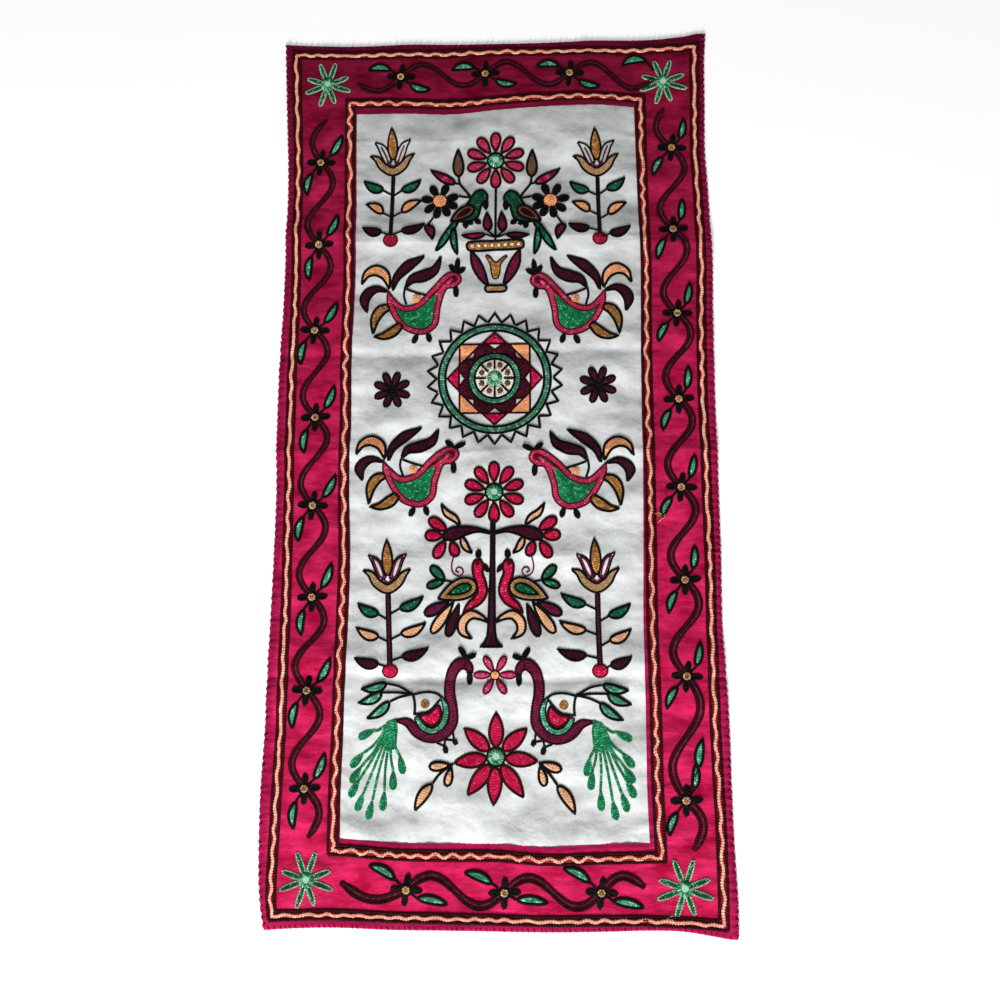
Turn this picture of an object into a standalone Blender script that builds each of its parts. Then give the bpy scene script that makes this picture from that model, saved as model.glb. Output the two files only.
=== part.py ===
"""Embroidered table runner, laid flat: a cream panel, four border strips and eight round mirrors.

Units are metres and +Z is up. The origin is on the surface that the cloth lies on, under the middle of its
outline. +X is the cloth's right and +Y is its far end. Tables give sizes in millimetres, as named.
"""

import math

import bmesh
import bpy

MM = 0.001

PANEL_THICKNESS = 1.3 * MM
BORDER_THICKNESS = 1.8 * MM
# The outer edge is turned under, so the cloth is thicker there
HEM_THICKNESS = 2.3 * MM
HEM_WIDTH = 9.0 * MM
HEM_STEP = 1.2 * MM
SEAM_GAP = 0.3 * MM

# The runner as it was cut, before washing and wear pulled it out of square
PANEL_HALF_WIDTH = 149.0 * MM
PANEL_HALF_LENGTH = 378.5 * MM
OUTER_HALF_WIDTH = 225.5 * MM
OUTER_HALF_LENGTH = 460.0 * MM

# Columns of the mesh across the panel and across one border strip
PANEL_COLUMNS = 18
STRIP_COLUMNS = 4
# Widest step between rows, and the rows set close to each pressed fold
ROW_STEP = 20.0 * MM
FOLD_ROW_OFFSETS = (-14.0 * MM, -5.0 * MM, 0.0, 5.0 * MM, 14.0 * MM)

# Long edges and seams as they lie: place along the length, sideways place of each line
LONG_LINES_MM = (
    # along, left edge, left seam, right seam, right edge
    (464, -230.2, -150.0, 150.0, 228.3),
    (430, -228.5, -150.0, 150.0, 225.6),
    (376, -225.6, -149.6, 149.5, 224.3),
    (330, -222.9, -148.6, 150.2, 223.0),
    (285, -221.6, -147.6, 150.9, 224.8),
    (240, -221.8, -146.9, 152.2, 226.0),
    (196, -222.1, -146.6, 152.9, 227.0),
    (150, -222.6, -147.5, 151.8, 225.8),
    (100, -224.0, -148.4, 150.7, 225.0),
    (40, -224.8, -147.7, 150.4, 224.9),
    (-40, -223.1, -148.2, 150.0, 225.2),
    (-110, -223.5, -145.4, 148.6, 225.1),
    (-170, -224.6, -145.8, 147.4, 224.2),
    (-220, -225.3, -147.0, 147.5, 225.9),
    (-275, -226.2, -148.2, 147.6, 227.7),
    (-330, -228.3, -149.2, 147.3, 227.6),
    (-385, -228.2, -148.9, 148.8, 228.4),
    (-430, -226.0, -149.0, 149.3, 230.0),
    (-464, -220.2, -149.0, 149.5, 229.4),
)

# Cross edges and seams as they lie: place across the width, lengthwise place of each line
CROSS_LINES_MM = (
    # across, bottom edge, bottom seam, top seam, top edge
    (-230, -461.0, -375.5, 379.5, 464.0),
    (-206, -459.2, -375.5, 379.2, 462.2),
    (-172, -457.7, -375.5, 379.0, 460.0),
    (-149, -457.5, -375.5, 379.0, 459.2),
    (-92, -459.0, -379.3, 378.3, 459.8),
    (-47, -459.0, -379.7, 376.2, 458.3),
    (5, -459.3, -379.5, 380.3, 457.7),
    (49, -459.5, -381.9, 382.8, 457.2),
    (108, -458.1, -378.8, 383.4, 458.4),
    (149, -456.7, -377.4, 379.0, 457.0),
    (176, -457.3, -377.2, 378.5, 457.5),
    (204, -461.4, -377.0, 378.0, 460.4),
    (218, -463.8, -377.0, 378.0, 463.1),
    (230, -464.0, -377.0, 378.0, 461.8),
)

# Fold lines left from storage, pressed across the whole width, an eighth of the length apart.
# A positive height is a fold that stands up, and a negative one is a fold that stays down
# between two low swells. The slant is how far the line climbs over a metre of width.
PRESSED_FOLDS = (
    # along mm, height mm, reach mm, slant mm/m, share at the left, share at the right
    (345.0, 0.9, 24.0, 0.0, 1.0, 0.5),
    (231.5, 4.2, 42.0, -40.0, 1.0, 1.0),
    (107.0, -1.9, 46.0, 4.0, 1.0, 0.8),
    (3.6, 3.8, 40.0, -6.0, 0.9, 1.0),
    (-102.0, 1.3, 26.0, 6.0, 0.4, 1.0),
    (-223.5, -2.4, 48.0, 3.0, 1.0, 0.9),
    (-339.0, 0.8, 24.0, 0.0, 0.6, 1.0),
)

# Low soft swells between the pressed folds
SOFT_SWELLS = (
    # across mm, along mm, half length mm, half width mm, turn deg, height mm
    (-96.0, 357.0, 52.0, 21.0, -17.0, 2.3),
    (-30.0, 356.0, 34.0, 17.0, 18.0, 1.9),
    (72.0, 350.0, 46.0, 20.0, -34.0, 1.6),
    (-112.0, 40.0, 58.0, 19.0, -15.0, 2.2),
    (98.0, 82.0, 56.0, 20.0, 17.0, 2.0),
    (-60.0, -150.0, 60.0, 22.0, 24.0, 1.2),
    (84.0, -96.0, 54.0, 20.0, 12.0, 1.5),
    (-58.0, -340.0, 60.0, 20.0, -14.0, 1.9),
    (52.0, -346.0, 50.0, 19.0, 15.0, 1.6),
    (-188.0, -120.0, 30.0, 16.0, 8.0, 1.3),
    (190.0, -60.0, 30.0, 16.0, -6.0, 1.4),
    (-190.0, 300.0, 28.0, 16.0, 5.0, 1.2),
    (192.0, 300.0, 28.0, 16.0, -8.0, 1.2),
    (-186.0, 150.0, 28.0, 15.0, 4.0, 1.2),
    (188.0, -290.0, 30.0, 16.0, 6.0, 1.4),
    (70.0, 420.0, 40.0, 16.0, 8.0, 1.2),
    (-80.0, -420.0, 44.0, 16.0, -6.0, 1.3),
)

MIRROR_RADIUS = 5.0 * MM
MIRROR_THICKNESS = 1.0 * MM
MIRROR_BEVEL = 0.25 * MM
MIRROR_SEGMENTS = 20
MIRRORS_MM = (
    # node, across, along, whether it lies on the border
    ("mirror_star_top_left", -181.8, 413.9, True),
    ("mirror_star_top_right", 181.1, 406.9, True),
    ("mirror_star_bottom_left", -180.8, -414.1, True),
    ("mirror_star_bottom_right", 180.6, -418.8, True),
    ("mirror_top_daisy", 1.4, 321.6, False),
    ("mirror_wheel", 0.5, 81.0, False),
    ("mirror_middle_daisy", -0.1, -37.6, False),
    ("mirror_bottom_flower", 2.0, -298.4, False),
)

COLLECTION_NAME = "embroidered_table_runner"


def clear_scene():
    """Remove every object that is already there."""
    for item in list(bpy.data.objects):
        bpy.data.objects.remove(item, do_unlink=True)


def eased(low, high, share):
    """Value between low and high that leaves and arrives level."""
    share = min(max(share, 0.0), 1.0)
    return low + (high - low) * share * share * (3.0 - 2.0 * share)


def read_line(table, column, place):
    """Place of one line of a table, on a smooth curve through its rows, in metres."""
    rows = sorted(table)
    at = min(max(place / MM, rows[0][0]), rows[-1][0])
    n = next(index for index in range(1, len(rows)) if at <= rows[index][0])
    near, far = rows[n - 1], rows[n]
    before, after = rows[max(n - 2, 0)], rows[min(n + 1, len(rows) - 1)]
    span = far[0] - near[0]
    leave = span * (far[column] - before[column]) / (far[0] - before[0])
    arrive = span * (after[column] - near[column]) / (after[0] - near[0])
    t = (at - near[0]) / span
    curve = (
        (2.0 * t**3 - 3.0 * t**2 + 1.0) * near[column]
        + (t**3 - 2.0 * t**2 + t) * leave
        + (3.0 * t**2 - 2.0 * t**3) * far[column]
        + (t**3 - t**2) * arrive
    )
    return curve * MM


def between(place, marks, values):
    """Straight interpolation of values at rising marks, held level outside them."""
    if place <= marks[0]:
        return values[0]
    for index in range(len(marks) - 1):
        if place <= marks[index + 1]:
            share = (place - marks[index]) / (marks[index + 1] - marks[index])
            return values[index] + (values[index + 1] - values[index]) * share
    return values[-1]


LONG_MARKS = (-OUTER_HALF_WIDTH, -PANEL_HALF_WIDTH, PANEL_HALF_WIDTH, OUTER_HALF_WIDTH)
CROSS_MARKS = (-OUTER_HALF_LENGTH, -PANEL_HALF_LENGTH, PANEL_HALF_LENGTH, OUTER_HALF_LENGTH)


def as_it_lies(x, y):
    """Where a point of the cloth as cut comes to lie on the surface."""
    shifts_x = [read_line(LONG_LINES_MM, n + 1, y) - mark for n, mark in enumerate(LONG_MARKS)]
    shifts_y = [read_line(CROSS_LINES_MM, n + 1, x) - mark for n, mark in enumerate(CROSS_MARKS)]
    return x + between(x, LONG_MARKS, shifts_x), y + between(y, CROSS_MARKS, shifts_y)


def as_cut(across, along):
    """The point of the cloth as cut that comes to lie at a given place."""
    x, y = across, along
    for _ in range(3):
        lies_x, lies_y = as_it_lies(x, y)
        x, y = x + across - lies_x, y + along - lies_y
    return x, y


def fold_line(fold, x):
    """Lengthwise place of a pressed fold at a place across the width."""
    along, _, _, slant, _, _ = fold
    return along * MM + slant * MM * x


def pressed_fold_height(fold, x, y):
    """Height of one pressed fold over the surface."""
    _, height, reach, _, left, right = fold
    distance = abs(y - fold_line(fold, x)) / (reach * MM)
    if distance >= 1.0:
        return 0.0
    share = eased(left, right, (x + OUTER_HALF_WIDTH) / (2.0 * OUTER_HALF_WIDTH))
    if height > 0.0:
        return height * MM * share * (1.0 - distance) ** 2
    # A fold that stays down: level at the line, highest a third of the way out
    swell = 6.75 * distance * (1.0 - distance) ** 2
    return -height * MM * share * swell


def soft_swell_height(swell, x, y):
    """Height of one soft swell over the surface."""
    across, along, half_length, half_width, turn, height = swell
    angle = math.radians(turn)
    dx = x - across * MM
    dy = y - along * MM
    lengthwise = (dx * math.cos(angle) + dy * math.sin(angle)) / (half_length * MM)
    crosswise = (dy * math.cos(angle) - dx * math.sin(angle)) / (half_width * MM)
    distance = math.hypot(lengthwise, crosswise)
    if distance >= 1.0:
        return 0.0
    return height * MM * (1.0 - distance * distance) ** 2


def cloth_height(x, y):
    """Height of the cloth's underside over the surface; nought where it rests."""
    height = sum(pressed_fold_height(fold, x, y) for fold in PRESSED_FOLDS)
    return height + sum(soft_swell_height(swell, x, y) for swell in SOFT_SWELLS)


def make_material(name, colour, roughness, metallic=0.0):
    material = bpy.data.materials.new(name)
    material.use_nodes = True
    shader = material.node_tree.nodes["Principled BSDF"]
    shader.inputs["Base Color"].default_value = (*colour, 1.0)
    shader.inputs["Roughness"].default_value = roughness
    shader.inputs["Metallic"].default_value = metallic
    material.diffuse_color = (*colour, 1.0)
    return material


def link(name, mesh, material, collection):
    item = bpy.data.objects.new(name, mesh)
    mesh.materials.append(material)
    collection.objects.link(item)
    return item


def border_thickness(x, y):
    """Thickness of a border strip, which steps up where its hem is turned under."""
    inside = min(OUTER_HALF_WIDTH - abs(x), OUTER_HALF_LENGTH - abs(y))
    return eased(HEM_THICKNESS, BORDER_THICKNESS, (inside - HEM_WIDTH) / HEM_STEP)


def panel_thickness(x, y):
    return PANEL_THICKNESS


def column_places(low, high, count):
    return [low + (high - low) * n / count for n in range(count + 1)]


def strip_columns(inner):
    """Columns across a side strip, from its seam to its hemmed edge."""
    step = OUTER_HALF_WIDTH - HEM_WIDTH - HEM_STEP
    return column_places(inner, step, STRIP_COLUMNS) + [step + HEM_STEP, OUTER_HALF_WIDTH]


def row_places(low, high):
    """Rows between two seams: close together at each pressed fold, evenly filled elsewhere."""
    marks = {low, high}
    for side, edge in ((-1.0, low), (1.0, high)):
        if abs(edge) == OUTER_HALF_LENGTH:
            hem = OUTER_HALF_LENGTH - HEM_WIDTH
            marks |= {side * hem, side * (hem - HEM_STEP)}
    for fold in PRESSED_FOLDS:
        for offset in FOLD_ROW_OFFSETS:
            place = fold[0] * MM + offset
            if low + SEAM_GAP < place < high - SEAM_GAP:
                marks.add(place)
    ordered = sorted(marks)
    rows = [ordered[0]]
    for near, far in zip(ordered, ordered[1:]):
        steps = max(1, math.ceil((far - near) / ROW_STEP))
        rows += [near + (far - near) * (n + 1) / steps for n in range(steps)]
    return rows


def slanted_row(x, row, low, high):
    """Lean a row with the nearest pressed fold, and keep the end rows straight."""
    nearest = min(PRESSED_FOLDS, key=lambda fold: abs(fold[0] * MM - row))
    room = min(row - low, high - row) / (2.0 * ROW_STEP)
    distance = abs(nearest[0] * MM - row) / (2.0 * ROW_STEP)
    lean = eased(0.0, 1.0, room) * eased(1.0, 0.0, distance)
    return row + lean * (fold_line(nearest, x) - nearest[0] * MM)


def make_sheet(name, columns, rows, thickness, material, collection):
    """One cut piece of cloth: a grid laid over the folds, thickened straight up."""
    mesh = bpy.data.meshes.new(name)
    grid = bmesh.new()
    bmesh.ops.create_grid(grid, x_segments=len(columns) - 1, y_segments=len(rows) - 1, size=0.5)
    raised = bmesh.ops.extrude_face_region(grid, geom=grid.faces[:])
    top = {item for item in raised["geom"] if isinstance(item, bmesh.types.BMVert)}
    for vert in grid.verts:
        x = columns[round((vert.co.x + 0.5) * (len(columns) - 1))]
        row = rows[round((vert.co.y + 0.5) * (len(rows) - 1))]
        y = slanted_row(x, row, rows[0], rows[-1])
        lift = thickness(x, y) if vert in top else 0.0
        vert.co = (*as_it_lies(x, y), cloth_height(x, y) + lift)
    bmesh.ops.recalc_face_normals(grid, faces=grid.faces[:])
    grid.to_mesh(mesh)
    grid.free()
    mesh.shade_smooth()
    mesh.set_sharp_from_angle(angle=math.radians(50.0))
    return link(name, mesh, material, collection)


def make_centre_panel(collection):
    cream = make_material("cream_cotton", (0.66, 0.69, 0.68), 0.85)
    half_gap = SEAM_GAP / 2.0
    columns = column_places(-PANEL_HALF_WIDTH + half_gap, PANEL_HALF_WIDTH - half_gap, PANEL_COLUMNS)
    rows = row_places(-PANEL_HALF_LENGTH + half_gap, PANEL_HALF_LENGTH - half_gap)
    make_sheet("centre_panel", columns, rows, panel_thickness, cream, collection)


def make_side_strips(collection):
    """The two long strips, which run past the end strips to the corners."""
    crimson = make_material("crimson_cotton_side", (0.66, 0.01, 0.09), 0.8)
    inner = PANEL_HALF_WIDTH + SEAM_GAP / 2.0
    rows = row_places(-OUTER_HALF_LENGTH, OUTER_HALF_LENGTH)
    for name, side in (("border_left", -1.0), ("border_right", 1.0)):
        columns = sorted(side * place for place in strip_columns(inner))
        make_sheet(name, columns, rows, border_thickness, crimson, collection)


def make_end_strips(collection):
    """The two short strips, sewn between the long ones."""
    crimson = make_material("crimson_cotton_end", (0.63, 0.01, 0.085), 0.8)
    half_gap = SEAM_GAP / 2.0
    columns = column_places(-PANEL_HALF_WIDTH + half_gap, PANEL_HALF_WIDTH - half_gap, PANEL_COLUMNS)
    inner = PANEL_HALF_LENGTH + half_gap
    for name, side in (("border_bottom", -1.0), ("border_top", 1.0)):
        rows = row_places(*sorted((side * inner, side * OUTER_HALF_LENGTH)))
        make_sheet(name, columns, rows, border_thickness, crimson, collection)


def highest_under_disc(across, along):
    """Highest point of the cloth's underside within one mirror's disc."""
    highest = cloth_height(*as_cut(across, along))
    for ring in (0.5, 1.0):
        for step in range(8):
            angle = step * math.pi / 4.0
            x = across + ring * MIRROR_RADIUS * math.cos(angle)
            y = along + ring * MIRROR_RADIUS * math.sin(angle)
            highest = max(highest, cloth_height(*as_cut(x, y)))
    return highest


def make_mirrors(collection):
    """Round mirrors, each resting on the cloth under the middle of its motif."""
    glass = make_material("mirror_glass", (0.55, 0.78, 0.62), 0.08, 1.0)
    for name, across_mm, along_mm, on_border in MIRRORS_MM:
        across, along = across_mm * MM, along_mm * MM
        cloth = BORDER_THICKNESS if on_border else PANEL_THICKNESS
        seat = highest_under_disc(across, along) + cloth + SEAM_GAP
        mesh = bpy.data.meshes.new(name)
        disc = bmesh.new()
        bmesh.ops.create_cone(
            disc,
            cap_ends=True,
            segments=MIRROR_SEGMENTS,
            radius1=MIRROR_RADIUS,
            radius2=MIRROR_RADIUS,
            depth=MIRROR_THICKNESS,
        )
        disc.to_mesh(mesh)
        disc.free()
        mesh.shade_smooth()
        mesh.set_sharp_from_angle(angle=math.radians(30.0))
        item = link(name, mesh, glass, collection)
        item.location = (across, along, seat + MIRROR_THICKNESS / 2.0)
        bevel = item.modifiers.new("ground_edge", "BEVEL")
        bevel.width = MIRROR_BEVEL
        bevel.segments = 1
        bevel.limit_method = "ANGLE"


def main():
    clear_scene()
    collection = bpy.data.collections.new(COLLECTION_NAME)
    bpy.context.scene.collection.children.link(collection)
    make_centre_panel(collection)
    make_side_strips(collection)
    make_end_strips(collection)
    make_mirrors(collection)


main()
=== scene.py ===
"""Embroidered table runner: cotton cloth, chain-stitched flowers and birds, a vine border and small mirrors.

Shapes are worked out in millimetres, in the frame's axes, and become metres where a mesh is made. A place
"as cut" is on the flat cloth before wear pulled it out of square, and a place "as it lies" is on the surface.
"""

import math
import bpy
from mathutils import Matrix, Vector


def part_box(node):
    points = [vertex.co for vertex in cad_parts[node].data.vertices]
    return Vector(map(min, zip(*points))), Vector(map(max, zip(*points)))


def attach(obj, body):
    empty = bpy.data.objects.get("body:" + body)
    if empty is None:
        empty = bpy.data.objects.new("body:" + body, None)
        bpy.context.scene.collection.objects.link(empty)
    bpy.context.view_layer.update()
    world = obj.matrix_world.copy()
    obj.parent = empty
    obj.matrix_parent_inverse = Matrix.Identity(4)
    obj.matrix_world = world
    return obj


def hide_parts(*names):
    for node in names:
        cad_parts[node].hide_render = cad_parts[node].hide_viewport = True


bl_info = {
    "name": "Embroidered table runner",
    "version": (1, 0, 0),
    "blender": (4, 5, 0),
    "location": "View3D > Sidebar > Table runner",
    "description": "Dresses a flat table runner with cotton weave, chain stitch, mirrors and a whipped hem",
    "category": "Object",
}

import bmesh
import bpy
import numpy as np
from bpy.props import FloatProperty, FloatVectorProperty, IntProperty, PointerProperty
from mathutils import Vector
from mathutils.geometry import delaunay_2d_cdt

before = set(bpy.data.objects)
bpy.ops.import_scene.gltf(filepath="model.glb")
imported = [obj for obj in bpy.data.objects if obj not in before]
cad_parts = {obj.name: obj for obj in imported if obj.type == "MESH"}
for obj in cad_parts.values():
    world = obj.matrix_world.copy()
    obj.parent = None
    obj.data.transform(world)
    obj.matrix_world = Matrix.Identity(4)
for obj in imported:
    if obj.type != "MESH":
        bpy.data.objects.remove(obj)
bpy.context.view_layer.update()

MM = 0.001

PANEL_THICKNESS = 1.3
BORDER_THICKNESS = 1.8
HEM_THICKNESS = 2.3
HEM_WIDTH = 9.0
HEM_STEP = 1.2
LEAST_THICKNESS = 0.6
# Half of what is left open between two sheets, in place of the wider seam of the CAD
HALF_GAP = 0.015

PANEL_HALF_WIDTH = 149.0
PANEL_HALF_LENGTH = 378.5
OUTER_HALF_WIDTH = 225.5
OUTER_HALF_LENGTH = 460.0

# Long edges and seams as they lie: place along the length, sideways place of each line
LONG_LINES = (
    # along, left edge, left seam, right seam, right edge
    (464, -230.2, -150, 150, 228.3),
    (430, -228.5, -150, 150, 225.6),
    (376, -225.6, -149.6, 149.5, 224.3),
    (330, -222.9, -148.6, 150.2, 223),
    (285, -221.6, -147.6, 150.9, 224.8),
    (240, -221.8, -146.9, 152.2, 226),
    (196, -222.1, -146.6, 152.9, 227),
    (150, -222.6, -147.5, 151.8, 225.8),
    (100, -224, -148.4, 150.7, 225),
    (40, -224.8, -147.7, 150.4, 224.9),
    (-40, -223.1, -148.2, 150, 225.2),
    (-110, -223.5, -145.4, 148.6, 225.1),
    (-170, -224.6, -145.8, 147.4, 224.2),
    (-220, -225.3, -147, 147.5, 225.9),
    (-275, -226.2, -148.2, 147.6, 227.7),
    (-330, -228.3, -149.2, 147.3, 227.6),
    (-385, -228.2, -148.9, 148.8, 228.4),
    (-430, -226, -149, 149.3, 230),
    (-464, -220.2, -149, 149.5, 229.4),
)

# Cross edges and seams as they lie: place across the width, lengthwise place of each line
CROSS_LINES = (
    # across, bottom edge, bottom seam, top seam, top edge
    (-230, -461, -375.5, 379.5, 464),
    (-206, -459.2, -375.5, 379.2, 462.2),
    (-172, -457.7, -375.5, 379, 460),
    (-149, -457.5, -375.5, 379, 459.2),
    (-92, -459, -379.3, 378.3, 459.8),
    (-47, -459, -379.7, 376.2, 458.3),
    (5, -459.3, -379.5, 380.3, 457.7),
    (49, -459.5, -381.9, 382.8, 457.2),
    (108, -458.1, -378.8, 383.4, 458.4),
    (149, -456.7, -377.4, 379, 457),
    (176, -457.3, -377.2, 378.5, 457.5),
    (204, -461.4, -377, 378, 460.4),
    (218, -463.8, -377, 378, 463.1),
    (230, -464, -377, 378, 461.8),
)

LONG_MARKS = np.array((-OUTER_HALF_WIDTH, -PANEL_HALF_WIDTH, PANEL_HALF_WIDTH, OUTER_HALF_WIDTH))
CROSS_MARKS = np.array((-OUTER_HALF_LENGTH, -PANEL_HALF_LENGTH, PANEL_HALF_LENGTH, OUTER_HALF_LENGTH))

# Fold lines left from storage. A negative height is a fold that stays down between two swells
PRESSED_FOLDS = (
    # along, height, reach, slant mm/m, share at the left, share at the right
    (345, 0.9, 24, 0, 1, 0.5),
    (231.5, 4.2, 42, -40, 1, 1),
    (107, -1.9, 46, 4, 1, 0.8),
    (3.6, 3.8, 40, -6, 0.9, 1),
    (-102, 1.3, 26, 6, 0.4, 1),
    (-223.5, -2.4, 48, 3, 1, 0.9),
    (-339, 0.8, 24, 0, 0.6, 1),
)

# Low soft swells between the pressed folds
SOFT_SWELLS = (
    # across, along, half length, half width, turn deg, height
    (-96, 357, 52, 21, -17, 2.3),
    (-30, 356, 34, 17, 18, 1.9),
    (72, 350, 46, 20, -34, 1.6),
    (-112, 40, 58, 19, -15, 2.2),
    (98, 82, 56, 20, 17, 2),
    (-60, -150, 60, 22, 24, 1.2),
    (84, -96, 54, 20, 12, 1.5),
    (-58, -340, 60, 20, -14, 1.9),
    (52, -346, 50, 19, 15, 1.6),
    (-188, -120, 30, 16, 8, 1.3),
    (190, -60, 30, 16, -6, 1.4),
    (-190, 300, 28, 16, 5, 1.2),
    (192, 300, 28, 16, -8, 1.2),
    (-186, 150, 28, 15, 4, 1.2),
    (188, -290, 30, 16, 6, 1.4),
    (70, 420, 40, 16, 8, 1.2),
    (-80, -420, 44, 16, -6, 1.3),
)

# Long sides of the two stitched bands as cut: place along the length, sideways place of each band's middle
BAND_LINES = (
    # along, outer left, inner left, inner right, outer right
    (440, -213.9, -156, 156.1, 214.8),
    (372, -213.9, -155.9, 156.2, 214.8),
    (250, -213.9, -156.7, 154.6, 214),
    (90, -211.6, -155.2, 155.2, 212.7),
    (-68, -212.1, -154.6, 156.4, 213.8),
    (-168, -210.8, -155.4, 157.5, 214.9),
    (-266, -209.7, -154.8, 158.2, 212.6),
    (-361, -210.5, -155.5, 158.7, 214.2),
    (-440, -214.6, -156, 158.6, 212.3),
)

# Their short sides: place across the width, lengthwise place of each band's middle
BAND_CROSS_LINES = (
    # across, outer bottom, inner bottom, inner top, outer top
    (-214, -448.1, -389.4, 390.8, 447.6),
    (-140, -448, -389.3, 390.7, 448),
    (-70, -448.3, -389.8, 389.3, 447.4),
    (0, -449, -390, 389.3, 448.9),
    (70, -449.4, -391.4, 389.7, 447.3),
    (130, -450.2, -392.1, 388.7, 446.4),
    (165, -451.6, -392.3, 388.5, 446.9),
    (190, -450.6, -392.3, 388.5, 446.6),
    (214, -448.9, -392.3, 388.5, 445.4),
)
BAND_WIDTHS = (428, 312)
BAND_LENGTHS = (897, 781)

THREADS = (
    # name, colour 0 to 255, how far stitches differ in tone (partly painted sheen), colour of a few stitches
    # painted as highlights
    ("black", (9, 5, 7), 0.30, None),
    ("wine_black", (52, 1, 6), 0.35, None),
    ("wine", (96, 12, 34), 0.25, None),
    ("hem_red", (168, 14, 68), 0.30, None),
    ("maroon", (70, 12, 34), 0.40, None),
    ("vine_core", (98, 34, 58), 0.5, None),
    ("plum", (112, 20, 62), 0.40, None),
    ("garnet", (158, 24, 60), 0.30, (205, 90, 115)),
    ("crimson", (210, 20, 76), 0.30, (238, 96, 134)),
    ("rose", (200, 52, 92), 0.30, (232, 120, 150)),
    ("pink", (212, 66, 116), 0.25, (235, 130, 165)),
    ("green", (26, 134, 84), 0.45, (110, 205, 155)),
    ("bottle_green", (16, 82, 52), 0.45, (60, 140, 100)),
    ("leaf_green", (22, 112, 72), 0.45, (90, 190, 145)),
    ("sea_green", (76, 158, 122), 0.42, (185, 232, 210)),
    ("star_green", (20, 100, 58), 0.40, (150, 200, 165)),
    ("pale_green", (150, 195, 160), 0.25, (205, 225, 205)),
    ("orange", (255, 172, 118), 0.20, (255, 205, 165)),
    ("peach", (250, 190, 145), 0.12, (255, 215, 185)),
    ("salmon", (255, 174, 152), 0.12, (255, 208, 188)),
    ("rust", (132, 22, 18), 0.35, None),
    ("gold", (172, 118, 60), 0.40, (225, 185, 125)),
    ("tan", (196, 156, 110), 0.30, (230, 205, 170)),
    ("brown", (112, 76, 56), 0.25, None),
    ("cream", (252, 244, 228), 0.05, (255, 252, 244)),
    ("ring_green", (70, 136, 106), 0.45, (165, 205, 180)),
)
THREAD_NUMBER = {row[0]: number for number, row in enumerate(THREADS)}

EDGE_WIDTH = 2.8
FILL_WIDTH = 2.0
LINE_WIDTH = 2.8
OUTLINE_STEP = 1.0
# Outlines are sewn a little outside the drawn line
OUTLINE_SPREAD = 0.8
# Stitches stand this far off the cloth, over what its mesh leaves out
STITCH_LIFT = 0.15
# A gap in a row that is shorter than this is sewn across
JUMP = 1.7
# Depth in metres of the bump of weave and twisted thread
FINE_BUMP = 0.00025
# Length of a ripple along the hem
HEM_WAVE = 7.4

BLACK_EDGE = (("black", EDGE_WIDTH),)
WINE_EDGE = (("wine_black", EDGE_WIDTH),)


def linear(colour):
    """Linear colour of one given from 0 to 255 in the usual screen scale."""
    shares = [part / 255.0 for part in colour]
    return tuple(s / 12.92 if s <= 0.04045 else ((s + 0.055) / 1.055) ** 2.4 for s in shares)


def eased(share):
    """Share from 0 to 1 that leaves and arrives level."""
    share = np.clip(share, 0, 1)
    return share * share * (3 - 2 * share)


def smooth_step(t, near, far, leave, arrive):
    """Values from near to far that leave and arrive at given slopes, for shares from 0 to 1."""
    value = (2 * t**3 - 3 * t**2 + 1) * near + (t**3 - 2 * t**2 + t) * leave
    return value + (3 * t**2 - 2 * t**3) * far + (t**3 - t**2) * arrive


def read_line(table, column, place):
    """Places of one line of a table, on a smooth curve through its rows."""
    rows = np.array(sorted(table), float)
    marks, values = rows[:, 0], rows[:, column]
    at = np.clip(place, marks[0], marks[-1])
    far = np.clip(np.searchsorted(marks, at), 1, len(rows) - 1)
    near = far - 1
    before = np.maximum(near - 1, 0)
    after = np.minimum(far + 1, len(rows) - 1)
    span = marks[far] - marks[near]
    leave = span * (values[far] - values[before]) / (marks[far] - marks[before])
    arrive = span * (values[after] - values[near]) / (marks[after] - marks[near])
    return smooth_step((at - marks[near]) / span, values[near], values[far], leave, arrive)


def between(place, marks, values):
    """Straight interpolation at rising marks, for which values holds one array each."""
    held = np.clip(place, marks[0], marks[-1])
    far = np.clip(np.searchsorted(marks, held), 1, len(marks) - 1)
    share = (held - marks[far - 1]) / (marks[far] - marks[far - 1])
    stack = np.array(values)
    column = np.arange(len(held))
    low, high = stack[far - 1, column], stack[far, column]
    return low + (high - low) * share


def as_it_lies(x, y):
    """Where points of the cloth as cut come to lie."""
    shifts_x = [read_line(LONG_LINES, n + 1, y) - mark for n, mark in enumerate(LONG_MARKS)]
    shifts_y = [read_line(CROSS_LINES, n + 1, x) - mark for n, mark in enumerate(CROSS_MARKS)]
    return x + between(x, LONG_MARKS, shifts_x), y + between(y, CROSS_MARKS, shifts_y)


def as_cut(across, along):
    """The points of the cloth as cut that come to lie at given places."""
    x, y = across, along
    for _ in range(3):
        lies_x, lies_y = as_it_lies(x, y)
        x, y = x + across - lies_x, y + along - lies_y
    return x, y


def pressed_fold_height(fold, x, y):
    along, height, reach, slant, left, right = fold
    distance = np.minimum(np.abs(y - along - slant * MM * x) / reach, 1)
    share = left + (right - left) * eased((x + OUTER_HALF_WIDTH) / (2 * OUTER_HALF_WIDTH))
    if height > 0:
        return height * share * (1 - distance) ** 2
    # 6.75 brings the highest point of a swell beside the fold to the height given
    return -height * share * 6.75 * distance * (1 - distance) ** 2


def soft_swell_height(swell, x, y):
    across, along, half_length, half_width, turn, height = swell
    angle = math.radians(turn)
    dx, dy = x - across, y - along
    lengthwise = (dx * math.cos(angle) + dy * math.sin(angle)) / half_length
    crosswise = (dy * math.cos(angle) - dx * math.sin(angle)) / half_width
    distance = np.minimum(np.hypot(lengthwise, crosswise), 1)
    return height * (1 - distance * distance) ** 2


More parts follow.
